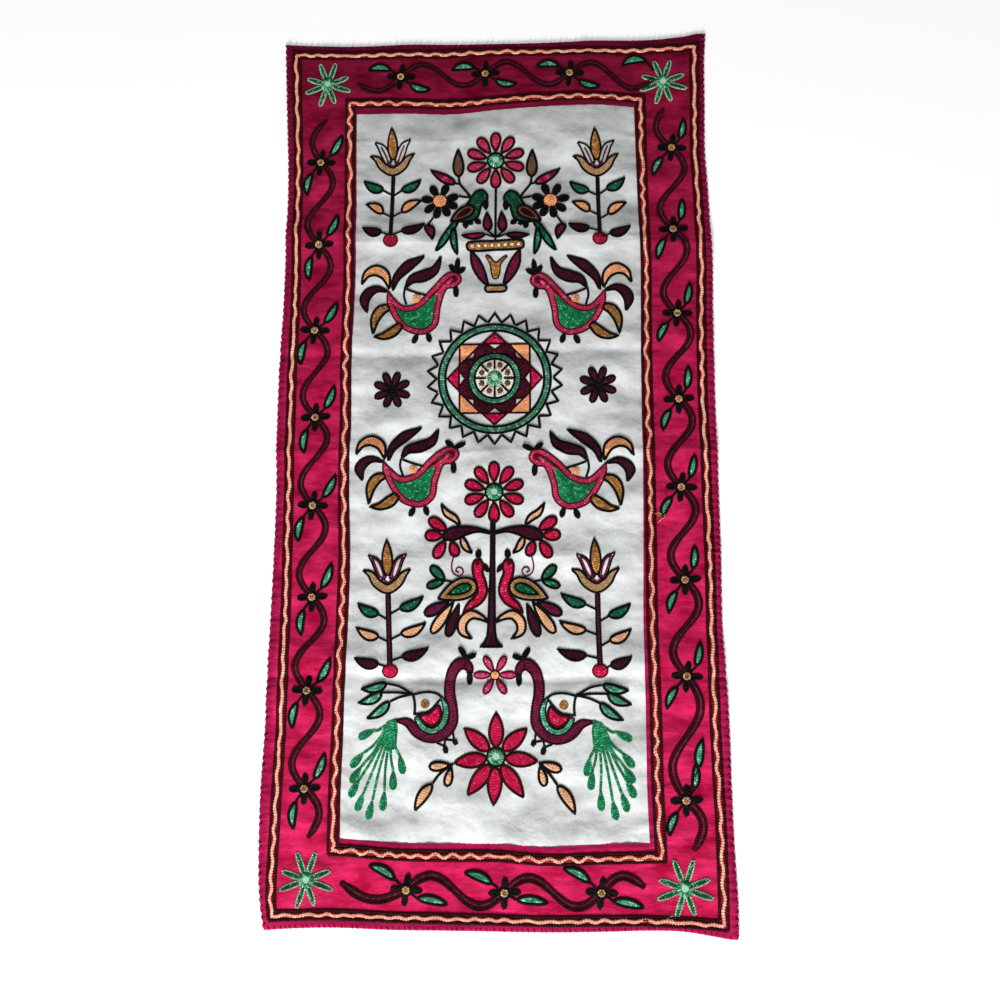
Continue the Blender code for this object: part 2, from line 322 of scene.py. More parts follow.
def underside_height(x, y):
    """Height of the cloth's underside at places as cut."""
    height = sum(pressed_fold_height(fold, x, y) for fold in PRESSED_FOLDS)
    return height + sum(soft_swell_height(swell, x, y) for swell in SOFT_SWELLS)


def lattice_noise(x, y, cell, seed):
    """Smooth noise from -1 to 1 with one random value at each corner of a square lattice."""
    size, far_off = 64, 500
    values = np.random.default_rng(seed).uniform(-1, 1, (size, size))
    u, v = x / cell + far_off, y / cell + far_off
    i, j = np.floor(u).astype(int), np.floor(v).astype(int)
    su, sv = eased(u - i), eased(v - j)
    i0, i1, j0, j1 = i % size, (i + 1) % size, j % size, (j + 1) % size
    near = values[i0, j0] * (1 - su) + values[i1, j0] * su
    far = values[i0, j1] * (1 - su) + values[i1, j1] * su
    return near * (1 - sv) + far * sv


def panel_share(x, y):
    """One on the centre panel and nought on the border."""
    return ((np.abs(x) < PANEL_HALF_WIDTH) & (np.abs(y) < PANEL_HALF_LENGTH)).astype(float)


def edge_distance(x, y):
    """Distance in from the runner's outer edge."""
    return np.minimum(OUTER_HALF_WIDTH - np.abs(x), OUTER_HALF_LENGTH - np.abs(y))


def seam_distance(x, y):
    """Distance from the seam round the centre panel, on either side of it."""
    beyond_x = np.abs(x) - PANEL_HALF_WIDTH
    beyond_y = np.abs(y) - PANEL_HALF_LENGTH
    return np.abs(np.maximum(beyond_x, beyond_y))


def hem_ripple(x, run):
    """Height from -1 to 1 of the uneven ripples along the hem."""
    return np.sin(math.tau * run / HEM_WAVE + 3 * lattice_noise(run, np.sign(x) * 20, 40, 8))


def fine_relief(x, y):
    """Cockle of washed cotton, puckers beside the seams and ripples along the hem."""
    on_panel = panel_share(x, y)
    cockle = 0.75 * lattice_noise(x, y, 30, 3) + 0.32 * lattice_noise(x, y * 1.3, 13, 4)
    border_cockle = 0.34 * lattice_noise(x * 0.6, y, 10, 5) + 0.16 * lattice_noise(x, y, 7.5, 6)
    relief = cockle * on_panel + border_cockle * (1 - on_panel)
    seam = seam_distance(x, y)
    beside_long = np.abs(np.abs(x) - PANEL_HALF_WIDTH) < np.abs(np.abs(y) - PANEL_HALF_LENGTH)
    run = np.where(beside_long, y, x)
    sway = lattice_noise(run, np.zeros_like(run), 34, 7)
    relief = relief + 0.42 * np.sin(math.tau * run / 12.5 + 2.6 * sway) * np.exp(-seam / 7.5)
    relief = relief - 0.4 * np.exp(-((seam / 1.3) ** 2))
    rim = edge_distance(x, y)
    on_side = OUTER_HALF_WIDTH - np.abs(x) < OUTER_HALF_LENGTH - np.abs(y)
    rim_run = np.where(on_side, y, x)
    strength = np.where(on_side, np.where(x > 0, 0.85, 0.55), 0.25)
    return relief + strength * hem_ripple(x, rim_run) * (1 - eased((rim - 5) / 7))


def cloth_thickness(x, y):
    """Thickness of the cloth as cut, with the turned hem and its rounded fold."""
    rim = edge_distance(x, y)
    border = HEM_THICKNESS + (BORDER_THICKNESS - HEM_THICKNESS) * eased((rim - HEM_WIDTH) / HEM_STEP)
    rounded = 0.45 + 0.55 * np.sqrt(np.clip(rim / 1.4, 0, 1))
    return np.where(panel_share(x, y) > 0.5, PANEL_THICKNESS, border * rounded)


def top_height(x, y):
    """Height of the cloth's upper face at places as cut."""
    return underside_height(x, y) + np.maximum(cloth_thickness(x, y) + fine_relief(x, y), LEAST_THICKNESS)


def curve_through(places, closed=False):
    """Points about a step apart on a smooth curve through a few places; a third column comes along."""
    knots = np.array(places, float)
    count = len(knots)
    spans = count if closed else count - 1
    pieces = []
    for n in range(spans):
        near, far = knots[n], knots[(n + 1) % count]
        before = knots[n - 1] if closed or n > 0 else near
        after = knots[(n + 2) % count] if closed or n + 2 < count else far
        span = math.dist(near[:2], far[:2])
        leave = (far - before) * span / max(span + math.dist(before[:2], near[:2]), 1e-6)
        arrive = (after - near) * span / max(span + math.dist(far[:2], after[:2]), 1e-6)
        points = max(1, math.ceil(span / OUTLINE_STEP))
        pieces.append(smooth_step((np.arange(points) / points)[:, None], near, far, leave, arrive))
    if not closed:
        pieces.append(knots[-1:])
    return np.vstack(pieces)


def run_along(points):
    """How far along a line each of its points is."""
    return np.concatenate(([0], np.cumsum(np.hypot(*np.diff(points, axis=0).T))))


def at_marks(points, run, marks):
    """Points of a line at given distances along it."""
    return np.stack((np.interp(marks, run, points[:, 0]), np.interp(marks, run, points[:, 1])), axis=1)


def evenly(line, step, closed=False):
    """The same line with its points an even step apart."""
    points = np.vstack((line, line[:1])) if closed else np.asarray(line)
    run = run_along(points)
    count = max(3 if closed else 1, round(run[-1] / step))
    marks = np.linspace(0, run[-1], count + 1)
    if closed:
        marks = marks[:-1]
    return at_marks(points, run, marks)


def straight_through(knots):
    """Points on straight lines through a few places, without the last place."""
    return np.vstack([evenly(knots[n : n + 2], OUTLINE_STEP)[:-1] for n in range(len(knots) - 1)])


def polygon(*corners):
    """Outline with straight sides between a few corners."""
    return straight_through(np.array((*corners, corners[0]), float))


def circle(radius, centre=(0, 0)):
    count = max(8, round(math.tau * radius / OUTLINE_STEP))
    turn = np.arange(count) * math.tau / count
    return np.stack((centre[0] + radius * np.cos(turn), centre[1] + radius * np.sin(turn)), axis=1)


def blade(base, tip, width, ends=(0.7, 1), bend=0):
    """Outline of a leaf or petal. Ends say how sharp its base and tip are: a half is round, one is pointed."""
    start, reach = np.array(base, float), np.array(tip, float) - np.array(base, float)
    length = math.hypot(*reach)
    side = np.array((-reach[1], reach[0])) / length
    t = (1 - np.cos(np.linspace(0, math.pi, max(8, round(length / OUTLINE_STEP))))) / 2.0
    sharp_base, sharp_tip = ends
    peak = sharp_base / (sharp_base + sharp_tip)
    half = width / 2 * (t / peak) ** sharp_base * ((1 - t) / (1 - peak)) ** sharp_tip
    arch = bend * length * 4 * t * (1 - t)
    spine = start + t[:, None] * reach + arch[:, None] * side
    return np.vstack((spine + half[:, None] * side, (spine - half[:, None] * side)[-2:0:-1]))


def beside(ahead):
    """Unit steps to the left of each direction."""
    return np.stack((-ahead[:, 1], ahead[:, 0]), axis=1) / np.hypot(*ahead.T)[:, None]


def nearest(points, line):
    """Distance from each point to the nearest point of a line."""
    return np.hypot(*(points[:, None, :] - line[None, :, :]).transpose(2, 0, 1)).min(axis=1)


def plume(rows):
    """Outline of a bent shape, from rows of across, along and width down its middle."""
    line = curve_through(rows)
    side = beside(np.gradient(line[:, :2], axis=0))
    half = np.maximum(line[:, 2:3], 0.3) / 2.0
    return np.vstack((line[:, :2] + side * half, (line[:, :2] - side * half)[::-1]))


def inset(outline, depth):
    """Rows that keep a depth inside an outline, each with whether it closes on itself."""
    line = evenly(outline, OUTLINE_STEP, closed=True)
    ahead_points = np.roll(line, -1, 0)
    area = np.sum(line[:, 0] * ahead_points[:, 1] - ahead_points[:, 0] * line[:, 1])
    if area < 0:
        line = line[::-1]
    moved = line + beside(np.roll(line, -1, 0) - np.roll(line, 1, 0)) * depth
    kept = moved[nearest(moved, line) > depth - 0.07]
    if len(kept) < 2:
        return []
    steps = np.hypot(*(np.roll(kept, -1, 0) - kept).T)
    breaks = np.flatnonzero(steps > JUMP)
    if len(breaks) == 0:
        return [(kept, True)]
    rows = []
    for n, stop in enumerate(breaks):
        first = breaks[n - 1] + 1
        run = np.arange(first, stop + 1 + (len(kept) if first > stop else 0)) % len(kept)
        rows.append((kept[run], False))
    return rows


def deepest(outline):
    """How far in a row can still be sewn inside an outline."""
    depth = 0.5
    while inset(outline, depth + 0.25):
        depth += 0.25
    return depth


class Rows:
    """Rows of stitches gathered for one piece, on the cloth as it lies."""

    def __init__(self):
        self.lines = []
        self.backings = []

    def add(self, points, thread, width, lift=0, closed=False):
        self.lines.append((np.asarray(points, float)[:, :2], THREAD_NUMBER[thread], width, lift, closed))

    def to_mesh(self, name, stitch_length):
        """Mesh of one edge line for each row, which carries each row's thread and sizes."""
        places, lifts, threads, widths, edges = [], [], [], [], []
        total = 0
        chance = np.random.default_rng(12)
        for points, thread, width, lift, closed in self.lines:
            length = float(np.sum(np.hypot(*np.diff(points, axis=0).T)))
            if closed and length < 2 * stitch_length:
                closed = False
            if closed:
                points = np.roll(points, chance.integers(len(points)), axis=0)
            else:
                share = chance.uniform(0.15, 0.65)
                points = trimmed(points, min(stitch_length, length) * np.array((share, 0.8 - share)))
            count = len(points)
            places.append(points)
            lifts.append(np.full(count, lift))
            threads.append(np.full(count, thread))
            widths.append(np.full(count, width))
            run = np.arange(total, total + count)
            pairs = np.stack((run[:-1], run[1:]), axis=1)
            edges.append(np.vstack((pairs, [[run[-1], run[0]]])) if closed else pairs)
            total += count
        flat = np.vstack(places)
        height = top_height(*as_cut(flat[:, 0], flat[:, 1])) + STITCH_LIFT + np.concatenate(lifts)
        mesh = bpy.data.meshes.new(name)
        mesh.from_pydata(np.column_stack((flat, height)) * MM, np.vstack(edges), [])
        width = np.concatenate(widths)
        store(mesh, "thread", "INT", np.concatenate(threads))
        store(mesh, "width", "FLOAT", width * MM)
        store(mesh, "height", "FLOAT", (0.35 + 0.28 * width) * MM)
        return mesh

    def back(self, outline, layers, lift):
        self.backings.append((outline, layers, lift))

    def backing_mesh(self, name):
        """Mesh of the close ground stitches that lie under filled shapes."""
        places, faces, numbers, total = [], [], [], 0
        for outline, layers, lift in self.backings:
            rim = evenly(outline, 1.7, closed=True)
            inner = [points[::2] for depth in backing_depths(layers) for points, _ in inset(outline, depth)]
            flat = np.vstack([rim] + inner)
            triangles = triangulated(flat, len(rim))
            depth = nearest(flat, rim)
            height = top_height(*as_cut(flat[:, 0], flat[:, 1])) + lift + np.minimum(0.1 + 0.35 * depth, 0.55)
            places.append(np.column_stack((flat, height)))
            faces.append(triangles + total)
            limits = np.array([limit for limit, _ in layers])
            threads = np.array([THREAD_NUMBER[thread] for _, thread in layers])
            middles = nearest(flat[triangles].mean(axis=1), rim)
            numbers.append(threads[np.searchsorted(limits, middles)])
            total += len(flat)
        mesh = bpy.data.meshes.new(name)
        mesh.from_pydata(np.vstack(places) * MM, [], np.vstack(faces).tolist())
        used = np.concatenate(numbers)
        kinds = sorted(set(used.tolist()))
        for thread in kinds:
            mesh.materials.append(thread_material(thread))
        mesh.polygons.foreach_set("material_index", np.searchsorted(kinds, used))
        # The backing gets only dark tones: painted shade in the gaps between rows.
        store(mesh, "shade", "FLOAT", np.random.default_rng(5).uniform(0, 0.3, total))
        return mesh

    def used_threads(self):
        return sorted({line[1] for line in self.lines})


def backing_depths(layers):
    """Depths at which a backing has points: at each ring's inner edge and then every few millimetres."""
    edges = [max(limit, 0.6) for limit, _ in layers[:-1]]
    return edges + [(edges[-1] if edges else 0) + step for step in np.arange(2.2, 20, 2.6)]


def triangulated(flat, rim_count):
    """Triangles over points of which the first few go round the outline."""
    rim = list(range(rim_count))
    edges = [(n, (n + 1) % rim_count) for n in rim]
    verts, _, faces, origins, _, _ = delaunay_2d_cdt([Vector(place) for place in flat], edges, [rim], 1, 1e-4)
    source = [origin[0] if origin else 0 for origin in origins]
    kept = [[source[corner] for corner in face] for face in faces if len(face) == 3]
    kept = [face for face in kept if len(set(face)) == 3]
    return np.array(kept, int)


def trimmed(points, amounts):
    """A row shortened at both ends, so that its first and last stitch end about where it does."""
    run = run_along(points)
    low, high = amounts[0], run[-1] - amounts[1]
    if high - low < 0.2:
        low, high = run[-1] * 0.4, run[-1] * 0.6
    inside = (run > low) & (run < high)
    return at_marks(points, run, np.concatenate(([low], run[inside], [high])))


def store(mesh, name, kind, values):
    mesh.attributes.new(name, kind, "POINT").data.foreach_set("value", values)


class Needle:
    """Sews rows and filled shapes at one place on the cloth, turned or mirrored as told."""

    def __init__(self, rows, at=(0, 0), mirror=False, turn=0, bent=None):
        self.rows = rows
        self.at = np.array(at, float)
        self.mirror = mirror
        self.turn = math.radians(turn)
        self.bent = bent

    def put(self, points):
        local = np.asarray(points, float)[:, :2]
        if self.bent:
            local = self.bent(local)
        cos, sin = math.cos(self.turn), math.sin(self.turn)
        turned = np.stack((local[:, 0] * cos - local[:, 1] * sin, local[:, 0] * sin + local[:, 1] * cos), axis=1)
        if self.mirror:
            turned[:, 0] = -turned[:, 0]
        return turned + self.at

    def spoke(self, angle):
        """A needle at the same place whose own Y axis points at an angle from this one's X axis."""
        return Needle(self.rows, self.at, self.mirror, math.degrees(self.turn) + angle - 90)

    def line(self, places, thread="black", width=LINE_WIDTH, lift=0):
        self.rows.add(self.put(curve_through(places)), thread, width, lift)

    def straight(self, places, width, lift=0):
        knots = np.array(places, float)
        self.rows.add(self.put(np.vstack((straight_through(knots), knots[-1:]))), "black", width, lift)

    def ring(self, radius, thread, width=LINE_WIDTH, centre=(0, 0), lift=0):
        self.rows.add(self.put(circle(radius, centre)), thread, width, lift, True)

    def shape(self, outline, rings=BLACK_EDGE, fill=None, lift=0, fill_width=FILL_WIDTH):
        """Rings of rows inside an outline, each of a thread and a width, and then the rest filled."""
        placed = self.put(outline)
        depth = -OUTLINE_SPREAD
        layers = []
        for thread, width in rings:
            for points, closed in inset(placed, depth + width / 2):
                self.rows.add(points, thread, width, lift, closed)
            depth += width
            layers.append((depth, thread))
        room = deepest(placed) - max(depth, 0)
        if fill is None and room > 1:
            return
        self.rows.back(placed, layers + [(1000, fill or rings[-1][0])], lift)
        if fill is None or room < 0.35:
            return
        count = max(1, round(room / fill_width))
        pitch = room / count
        for n in range(count):
            for points, closed in inset(placed, max(depth, 0) + pitch * (n + 0.5)):
                self.rows.add(points, fill, max(pitch * 1.08, 1.2), lift, closed)

    def disc(self, radius, fill, centre=(0, 0), rings=(), lift=0):
        self.shape(circle(radius, centre), rings, fill, lift)

    def leaf(self, base, tip, width, fill=None, ends=(0.6, 0.5), bend=0, **how):
        self.shape(blade(base, tip, width, ends, bend), fill=fill, **how)

    def plume(self, rows, fill=None, **how):
        self.shape(plume(rows), fill=fill, **how)

    def leaves(self, fill, *places, **how):
        for base, tip, width in places:
            self.leaf(base, tip, width, fill, **how)

    def plumes(self, fill, *shapes, **how):
        for rows in shapes:
            self.plume(rows, fill, **how)

    def patch(self, places, fill=None, **how):
        """A filled shape with a smooth edge through a few places."""
        self.shape(curve_through(places, closed=True), fill=fill, **how)


def sew_pair(rows, sew_one, left, right):
    """The same motif at two places, mirrored at the right one."""
    sew_one(Needle(rows, left))
    sew_one(Needle(rows, right, mirror=True))


def leaf_on_stalk(needle, joint, tip, fill, bend):
    """A leaf at the end of a short stalk that leaves a stem at a joint."""
    start, end = np.array(joint, float), np.array(tip, float)
    base = start + (end - start) * 0.27
    needle.straight((start, base + (end - base) * 0.06), width=2.3)
    needle.leaf(base, end, 10.6, fill, ends=(0.6, 1.15), bend=bend)


def sew_petals(needle, angles, near, far, width, fill, rings, ends=(0.9, 0.5)):
    for angle in angles:
        needle.spoke(angle).leaf((0, near), (0, far), width, fill, ends=ends, rings=rings)


def even_angles(count, first=90):
    return [first + 360 * n / count for n in range(count)]


def sew_daisy(needle, petals, near, far, width, fill):
    """Round petals about a mirror, whose green ring of stitches is a piece of its own."""
    sew_petals(needle, even_angles(petals), near, far, width, fill, WINE_EDGE)
    needle.ring(near - 0.6, "black", 2.2)


def band_side(ring, side, offsets, corner):
    """Row along one side of a stitched band as cut. Offsets are how far out from the band's middle."""
    upright = side in ("left", "right")
    own, other = (BAND_LINES, BAND_CROSS_LINES) if upright else (BAND_CROSS_LINES, BAND_LINES)
    low, high = (1, 4) if ring == 0 else (2, 3)
    column, sign = (low, -1) if side in ("left", "bottom") else (high, 1)
    first, last = read_line(own, column, np.array((-1000, 1000)))
    start = read_line(other, low, np.array([first]))[0] - corner
    stop = read_line(other, high, np.array([last]))[0] + corner
    run = np.linspace(start, stop, len(offsets))
    across = read_line(own, column, run) + sign * offsets
    return np.stack((across, run) if upright else (run, across), axis=1)


def wave_offsets(length, wave, height, seed):
    """Sideways sway of a wavy row along one side of a band, level at both corners."""
    count = round(length / 1.5)
    run = np.linspace(0, length, count)
    level = np.zeros(count)
    sine = np.sin(math.tau * run / wave + 3.2 * lattice_noise(run, level, 46, seed))
    uneven = 0.95 + 0.5 * lattice_noise(run, level, 26, seed + 1)
    kinks = 0.5 * lattice_noise(run, level, 5.5, seed + 2)
    return (height * sine * uneven + kinks) * eased(np.minimum(run, length - run) / 7)


def sew_band(rows, ring, zone, black_width, wave_height, seed):
    """One stitched band: a wavy salmon row on rust between two dark rows."""
    width, length = BAND_WIDTHS[ring], BAND_LENGTHS[ring]
    sides = {"bottom": width, "right": length, "top": width, "left": length}
    for edge in (-1, 1):
        offset = edge * (zone + black_width) / 2.0
        level = {side: np.full(round(length / 2), offset) for side, length in sides.items()}
        add_frame_row(rows, ring, level, offset, "wine_black", black_width, 0)
    level = {side: np.zeros(round(length / 2)) for side, length in sides.items()}
    add_frame_row(rows, ring, level, 0, "rust", zone + 0.4, -0.15)
    waves = {}
    for n, (side, length) in enumerate(sides.items()):
        wave = 25 if side in ("left", "right") else 18
        waves[side] = wave_offsets(length, wave, wave_height, seed + 3 * n)
    add_frame_row(rows, ring, waves, 0, "salmon", 3.8, 0.45)


def add_frame_row(rows, ring, offsets, corner, thread, width, lift):
    """One closed row round a band, joined from its four sides."""
    bottom, right, top, left = (band_side(ring, side, offsets[side], corner) for side in offsets)
    loop = np.vstack((bottom[:-1], right[:-1], top[::-1][:-1], left[::-1][:-1]))
    rows.add(np.stack(as_it_lies(loop[:, 0], loop[:, 1]), axis=1), thread, width, lift, True)


# Places of the vine's flowers as they lie, along each border field
VINE_FLOWERS = {
    "left": (
        (-187, 323), (-186, 229), (-188, 135), (-185, 42), (-185, -50), (-183, -143), (-185, -235), (-185, -329)
    ),
    "right": ((188, 331), (187, 239), (189, 148), (188, 57), (188, -34), (189, -127), (188, -221), (184, -338)),
    "top": ((-102, 421), (-10, 422), (81, 420)),
    "bottom": ((-84, -422), (10, -424), (102, -423)),
}
# How each vine begins and ends: the tip before the first flower, and the one after the last
VINE_TIPS = {
    "left": ((-182, 372), (-180, -375)),
    "right": ((181, 376), (190, -384)),
    "top": ((-149, 414), (172, 411)),
    "bottom": ((-147, -416), (143, -418)),
}
VINE_WIDTHS = {"left": (6.4, 7.4), "right": (6.6, 8.8), "top": (6.4, 6.4), "bottom": (8.6, 8.6)}
VINE_BULGE = 13.2


def sew_vine_stretch(rows, start, end, waves, width):
    """One wavy stretch of the vine. Waves are the first and last share of a full wave."""
    first, last = waves
    start, reach = np.array(start, float), np.array(end, float) - np.array(start, float)
    length = math.hypot(*reach)
    side = np.array((-reach[1], reach[0])) / length
    t = np.linspace(0, 1, max(8, round(length * 1.3)))
    phase = math.tau * (first + (last - first) * t)
    bulge = VINE_BULGE if last - first > 0.9 else VINE_BULGE * 0.95
    middle = start + t[:, None] * reach + (bulge * np.sin(phase))[:, None] * side
    across = beside(np.gradient(middle, axis=0))
    swell = 0.78 + 0.22 * np.abs(np.sin(phase))
    if last - first < 0.9:
        away = t if last < 0.9 else 1 - t
        swell = 1 - 0.45 * eased((away - 0.80) / 0.20)
    half = (width * swell / 2)[:, None]
    for share, thread, row_width, hem, lift in (
        (-1, "wine_black", 2.6, 1.1, 0), (1, "wine_black", 2.6, 1.1, 0),
        (-0.34, "wine_black", 2.2, 0.9, -0.1), (0.34, "vine_core", 1.8, 0.9, -0.1),
    ):
        rows.add(middle + across * share * np.maximum(half - hem, 0.25), thread, row_width, lift)


def sew_vine_flower(needle):
    """Four short dark petals about a gold knot."""
    for angle, far, width in ((0, 15.6, 5.6), (84, 14.2, 5.4), (180, 15, 5.8), (266, 15.2, 5.2)):
        needle.spoke(angle).leaf((0, 3), (0, far), width, "black")
    needle.disc(6.6, "black")
    needle.ring(2.9, "tan", 2, lift=0.9)
    needle.disc(1.9, "gold", lift=0.7)


def sew_vine_leaf(needle, base, tip, width, bend):
    needle.straight((np.array(base) * 0.45, base), width=2.6)
    needle.leaf(base, tip, width, "sea_green", ends=(0.6, 0.75), bend=bend, rings=(("black", 3),))


# Leaves beside each vine flower: base, tip, width and how far the middle bends to one side
VINE_LEAVES = {
    "left": (((-8.5, -12), (-11.5, -38.5), 8.6, -0.10), ((9.7, 8), (21, 33), 8.9, -0.05)),
    "right": (((-9, -10.5), (-18.5, -32.5), 8.4, -0.08), ((8.5, 9.5), (12, 34), 8.2, -0.04)),
    "top": (((-11, 7.5), (-37, 7), 9.4, -0.14), ((10, -8), (34, -14), 9, -0.10)),
    "bottom": (((-11, 8.5), (-38, 20), 9.4, -0.08), ((11, -7), (41, -11.5), 9, 0.05)),
}


# One more leaf at the end of two vines: stalk, base, tip, width, ends, bend and width of its edge
LAST_LEAVES = {
    "top": (((172, 420), (165, 429), (162, 433.5)), (164, 431.5), (137, 426.5), 9.6, (0.65, 0.8), -0.2, 2.6),
    "right": (((187, -331), (192, -318), (197.5, -307)), (197, -308), (201.5, -280), 9.2, (0.6, 0.8), 0.05, 3),
}


def sew_vine(rows, name):
    flowers = VINE_FLOWERS[name]
    first_tip, last_tip = VINE_TIPS[name]
    near_width, far_width = VINE_WIDTHS[name]
    count = len(flowers)
    widths = [near_width + (far_width - near_width) * n / count for n in range(count + 1)]
    sew_vine_stretch(rows, first_tip, flowers[0], (0.5, 1), widths[0])
    for n in range(count - 1):
        sew_vine_stretch(rows, flowers[n], flowers[n + 1], (0, 1), widths[n + 1])
    ending = (0, 1) if name == "top" else (0, 0.5)
    sew_vine_stretch(rows, flowers[-1], last_tip, ending, widths[-1])
    for n, place in enumerate(flowers):
        needle = Needle(rows, place, turn=(3 if n % 2 else -3))
        for leaf in VINE_LEAVES[name]:
            sew_vine_leaf(needle, *leaf)
        sew_vine_flower(needle)


def sew_corner_star(needle, reach):
    """Eight narrow arms, dark green with pale edges, about a mirror."""
    for n, angle in enumerate(even_angles(8, 22.5)):
        arm = needle.spoke(angle + (4 if n % 2 else -2))
        outline = blade((0, 5.5), (0, reach + (1 if n % 3 else -1.5)), 4.7, (0.3, 0.36))
        arm.shape(outline, (("pale_green", 1.5),), "star_green", fill_width=1.6)


def sew_tulip(needle, leaves, foot, low):
    """A tulip on its stem, with three pairs of leaves and a round root. Low plants have a maroon stem."""
    foot_x, foot_y = foot
    stem = ((0.5, -1), (foot_x * 0.55, foot_y * 0.55), (foot_x, foot_y + 5))
    apart, width = (1.9, 2) if low else (1.05, 2.5)
    for side in (-1, 1):
        needle.line([(x + side * apart, y) for x, y in stem], width=width)
    if low:
        needle.line(stem, "maroon", 2.6)
    for n, (tip, drop, fill) in enumerate(leaves):
        side = 1 if n % 2 else -1
        joint = (foot_x * min(1, (tip[1] - drop) / foot_y) + side * 1.8, tip[1] - drop)
        bend = side * (0.10 if fill == "orange" else -0.10)
        leaf_on_stalk(needle, joint, tip, fill, bend)
    needle.leaf(
        (foot_x, foot_y - 6.5), (foot_x, foot_y + 6.5), 15, "crimson" if low else "garnet", ends=(0.5, 0.5),
        rings=(("wine", 1.9),),
    )
    cup = (
        (-25, 22.5, 1.5), (-17.5, 19, 6.5), (-11, 10, 9), (0, 4, 9.5), (10.5, 10.5, 9), (16, 18.5, 6.5),
        (22.5, 24, 1.5),
    )
    needle.plume(cup, "tan", rings=(("black", 2.4),), fill_width=1.8)
    for petal in (
        ((-20, 37.5, 1), (-13.2, 32, 7.6), (-9, 24, 9), (-5, 13.5, 7)),
        ((18.5, 39, 1), (11.7, 33, 7.6), (8.2, 24.5, 9), (5, 13.5, 7)),
    ):
        needle.plume(petal, rings=(("black", 2), ("plum", 1.9)) if low else (("black", 2),))
        if not low:
            needle.line([place[:2] for place in petal[1:]], "plum", 1.8, lift=0.2)
    needle.line(((-5, 16), (-2.5, 11.5), (0, 10), (2.5, 11.5), (5, 16)), "plum", 2)
    needle.leaf((0, 17), (-2, 53.5), 11, "gold", ends=(0.62, 0.9), rings=(("black", 2.2),), lift=0.2)


# Tulip plants: place of the cup's bottom, whether low, the foot of the stem, and six leaf tips
TULIPS = (
    # across, along, low, foot, green tips, orange tips, dark tips
    (-108.7, 307.3, False, (-1, -75), ((-32, -5), (31, -4)), ((-30, -32), (33, -29)), ((-32, -59), (36, -55))),
    (108.9, 302.1, False, (2, -72), ((-30, -5), (30, -2)), ((-28, -29), (32, -31)), ((-32, -53), (35, -57))),
    (-106.7, -139.2, True, (4, -77), ((-31, -9), (37, -2)), ((-32, -33), (40, -28)), ((-33, -63), (43, -53))),
    (102.1, -138.9, True, (2, -77), ((-37, 0), (34, -10)), ((-39, -27), (34, -35)), ((-41, -55), (34, -62))),
)


def sew_tulip_plants(rows):
    for across, along, low, foot, green, orange, dark in TULIPS:
        needle = Needle(rows, (across, along))
        pairs = (
            (green, (17, 19), "leaf_green"),
            (orange, (15, 18), "peach" if low else "orange"),
            (dark, (10, 14), "maroon"),
        )
        leaves = [(tip, drop, fill) for tips, drops, fill in pairs for tip, drop in zip(tips, drops)]
        sew_tulip(needle, leaves, foot, low)


def sew_long_tailed_bird(needle):
    """A bird with a pink rim, a green body, five curled tail feathers and two plumes."""
    needle.plumes(
        "maroon",
        ((-34, 44, 2), (-46, 47, 7), (-55, 42, 10.5), (-58.5, 34, 10), (-55.5, 21, 1.5)),
        ((-29, 45, 2), (-25, 59, 8), (-13, 71.5, 11), (-3, 77.5, 6.5), (4.5, 82, 1.5)),
        ((-15.5, 48, 2), (-8.5, 57, 9), (4, 60.5, 12.5), (15, 66.5, 9), (22, 81, 1.5)),
    )
    needle.plumes("orange", ((-62, 52, 1.5), (-56.5, 63.5, 8), (-46.5, 67.5, 12), (-37, 61.5, 10), (-32.5, 47, 2)))
    needle.plumes(
        "gold",
        ((-32, 27, 7), (-41, 23, 11), (-47, 13, 9.5), (-48.5, -3.5, 1.5)),
        ((-19, 8, 7), (-28, -1, 11), (-37, -5.5, 8), (-47.5, -6, 1.5)),
    )
    needle.line(((-16, 48), (-17, 39), (-14, 28.5)), width=2.6)
    needle.line(((-15, 46.5), (-5, 42.5), (6.5, 39)), width=2.6)
    needle.disc(4.6, "orange", (-3.5, 35.5))
    body = (
        (-34, 44), (-33, 26), (-17, 2.5), (4, -4), (18, 5.5), (21.5, 26), (28, 45.5), (36, 47), (43.5, 55),
        (38.5, 63.5), (28, 62.5), (12, 46), (-3, 31), (-17, 28), (-27, 36),
    )
    rim = (("wine", 1.9), ("rose", 2), ("rose", 1.9), ("wine", 1.6))
    needle.patch(body, "green", rings=rim)
    needle.line(((17, 39), (26, 50), (34, 56.5)), "rose", 4.2, lift=0.35)
    needle.line(((10.5, 35), (19, 43.5), (29.5, 55)), "wine", 1.8, lift=0.8)
    needle.disc(3.4, "wine", (36, 55.5), lift=0.8)
    needle.leaf((37.5, 48.5), (38, 36.5), 5, ends=(0.5, 0.5))
    crest = ((29.5, 70.5), (50, 68)) if needle.bent else ((31, 72), (40, 78.5), (47.5, 68.5))
    for tip in crest:
        needle.leaf((38, 62.5), tip, 4.8, "black")
    needle.leaves("black", ((-2, -4), (-6.5, -13.5), 5), ((8.5, -3), (11.5, -12.5), 5))


def stooped(points):
    """The bird's points with its head and plumes lower and its tail a little higher."""
    x, y = points.T
    head = eased((x - 12) / 18) * eased((y - 5) / 30)
    tail = eased((-12 - x) / 20) * eased((45 - y) / 20)
    lowered = y - 6.5 * head + 2.5 * tail - 0.06 * (1 - head) * np.maximum(y - 20, 0)
    return np.stack((x, lowered), axis=1)


def sew_long_tailed_birds(rows):
    for place, mirror, bent in (
        ((-78, 133.1), False, None), ((81, 130.5), True, None),
        ((-79, -48.3), False, stooped), ((78.9, -51.5), True, stooped),
    ):
        sew_long_tailed_bird(Needle(rows, place, mirror, bent=bent))


def polar(radius, angle):
    return radius * math.cos(math.radians(angle)), radius * math.sin(math.radians(angle))


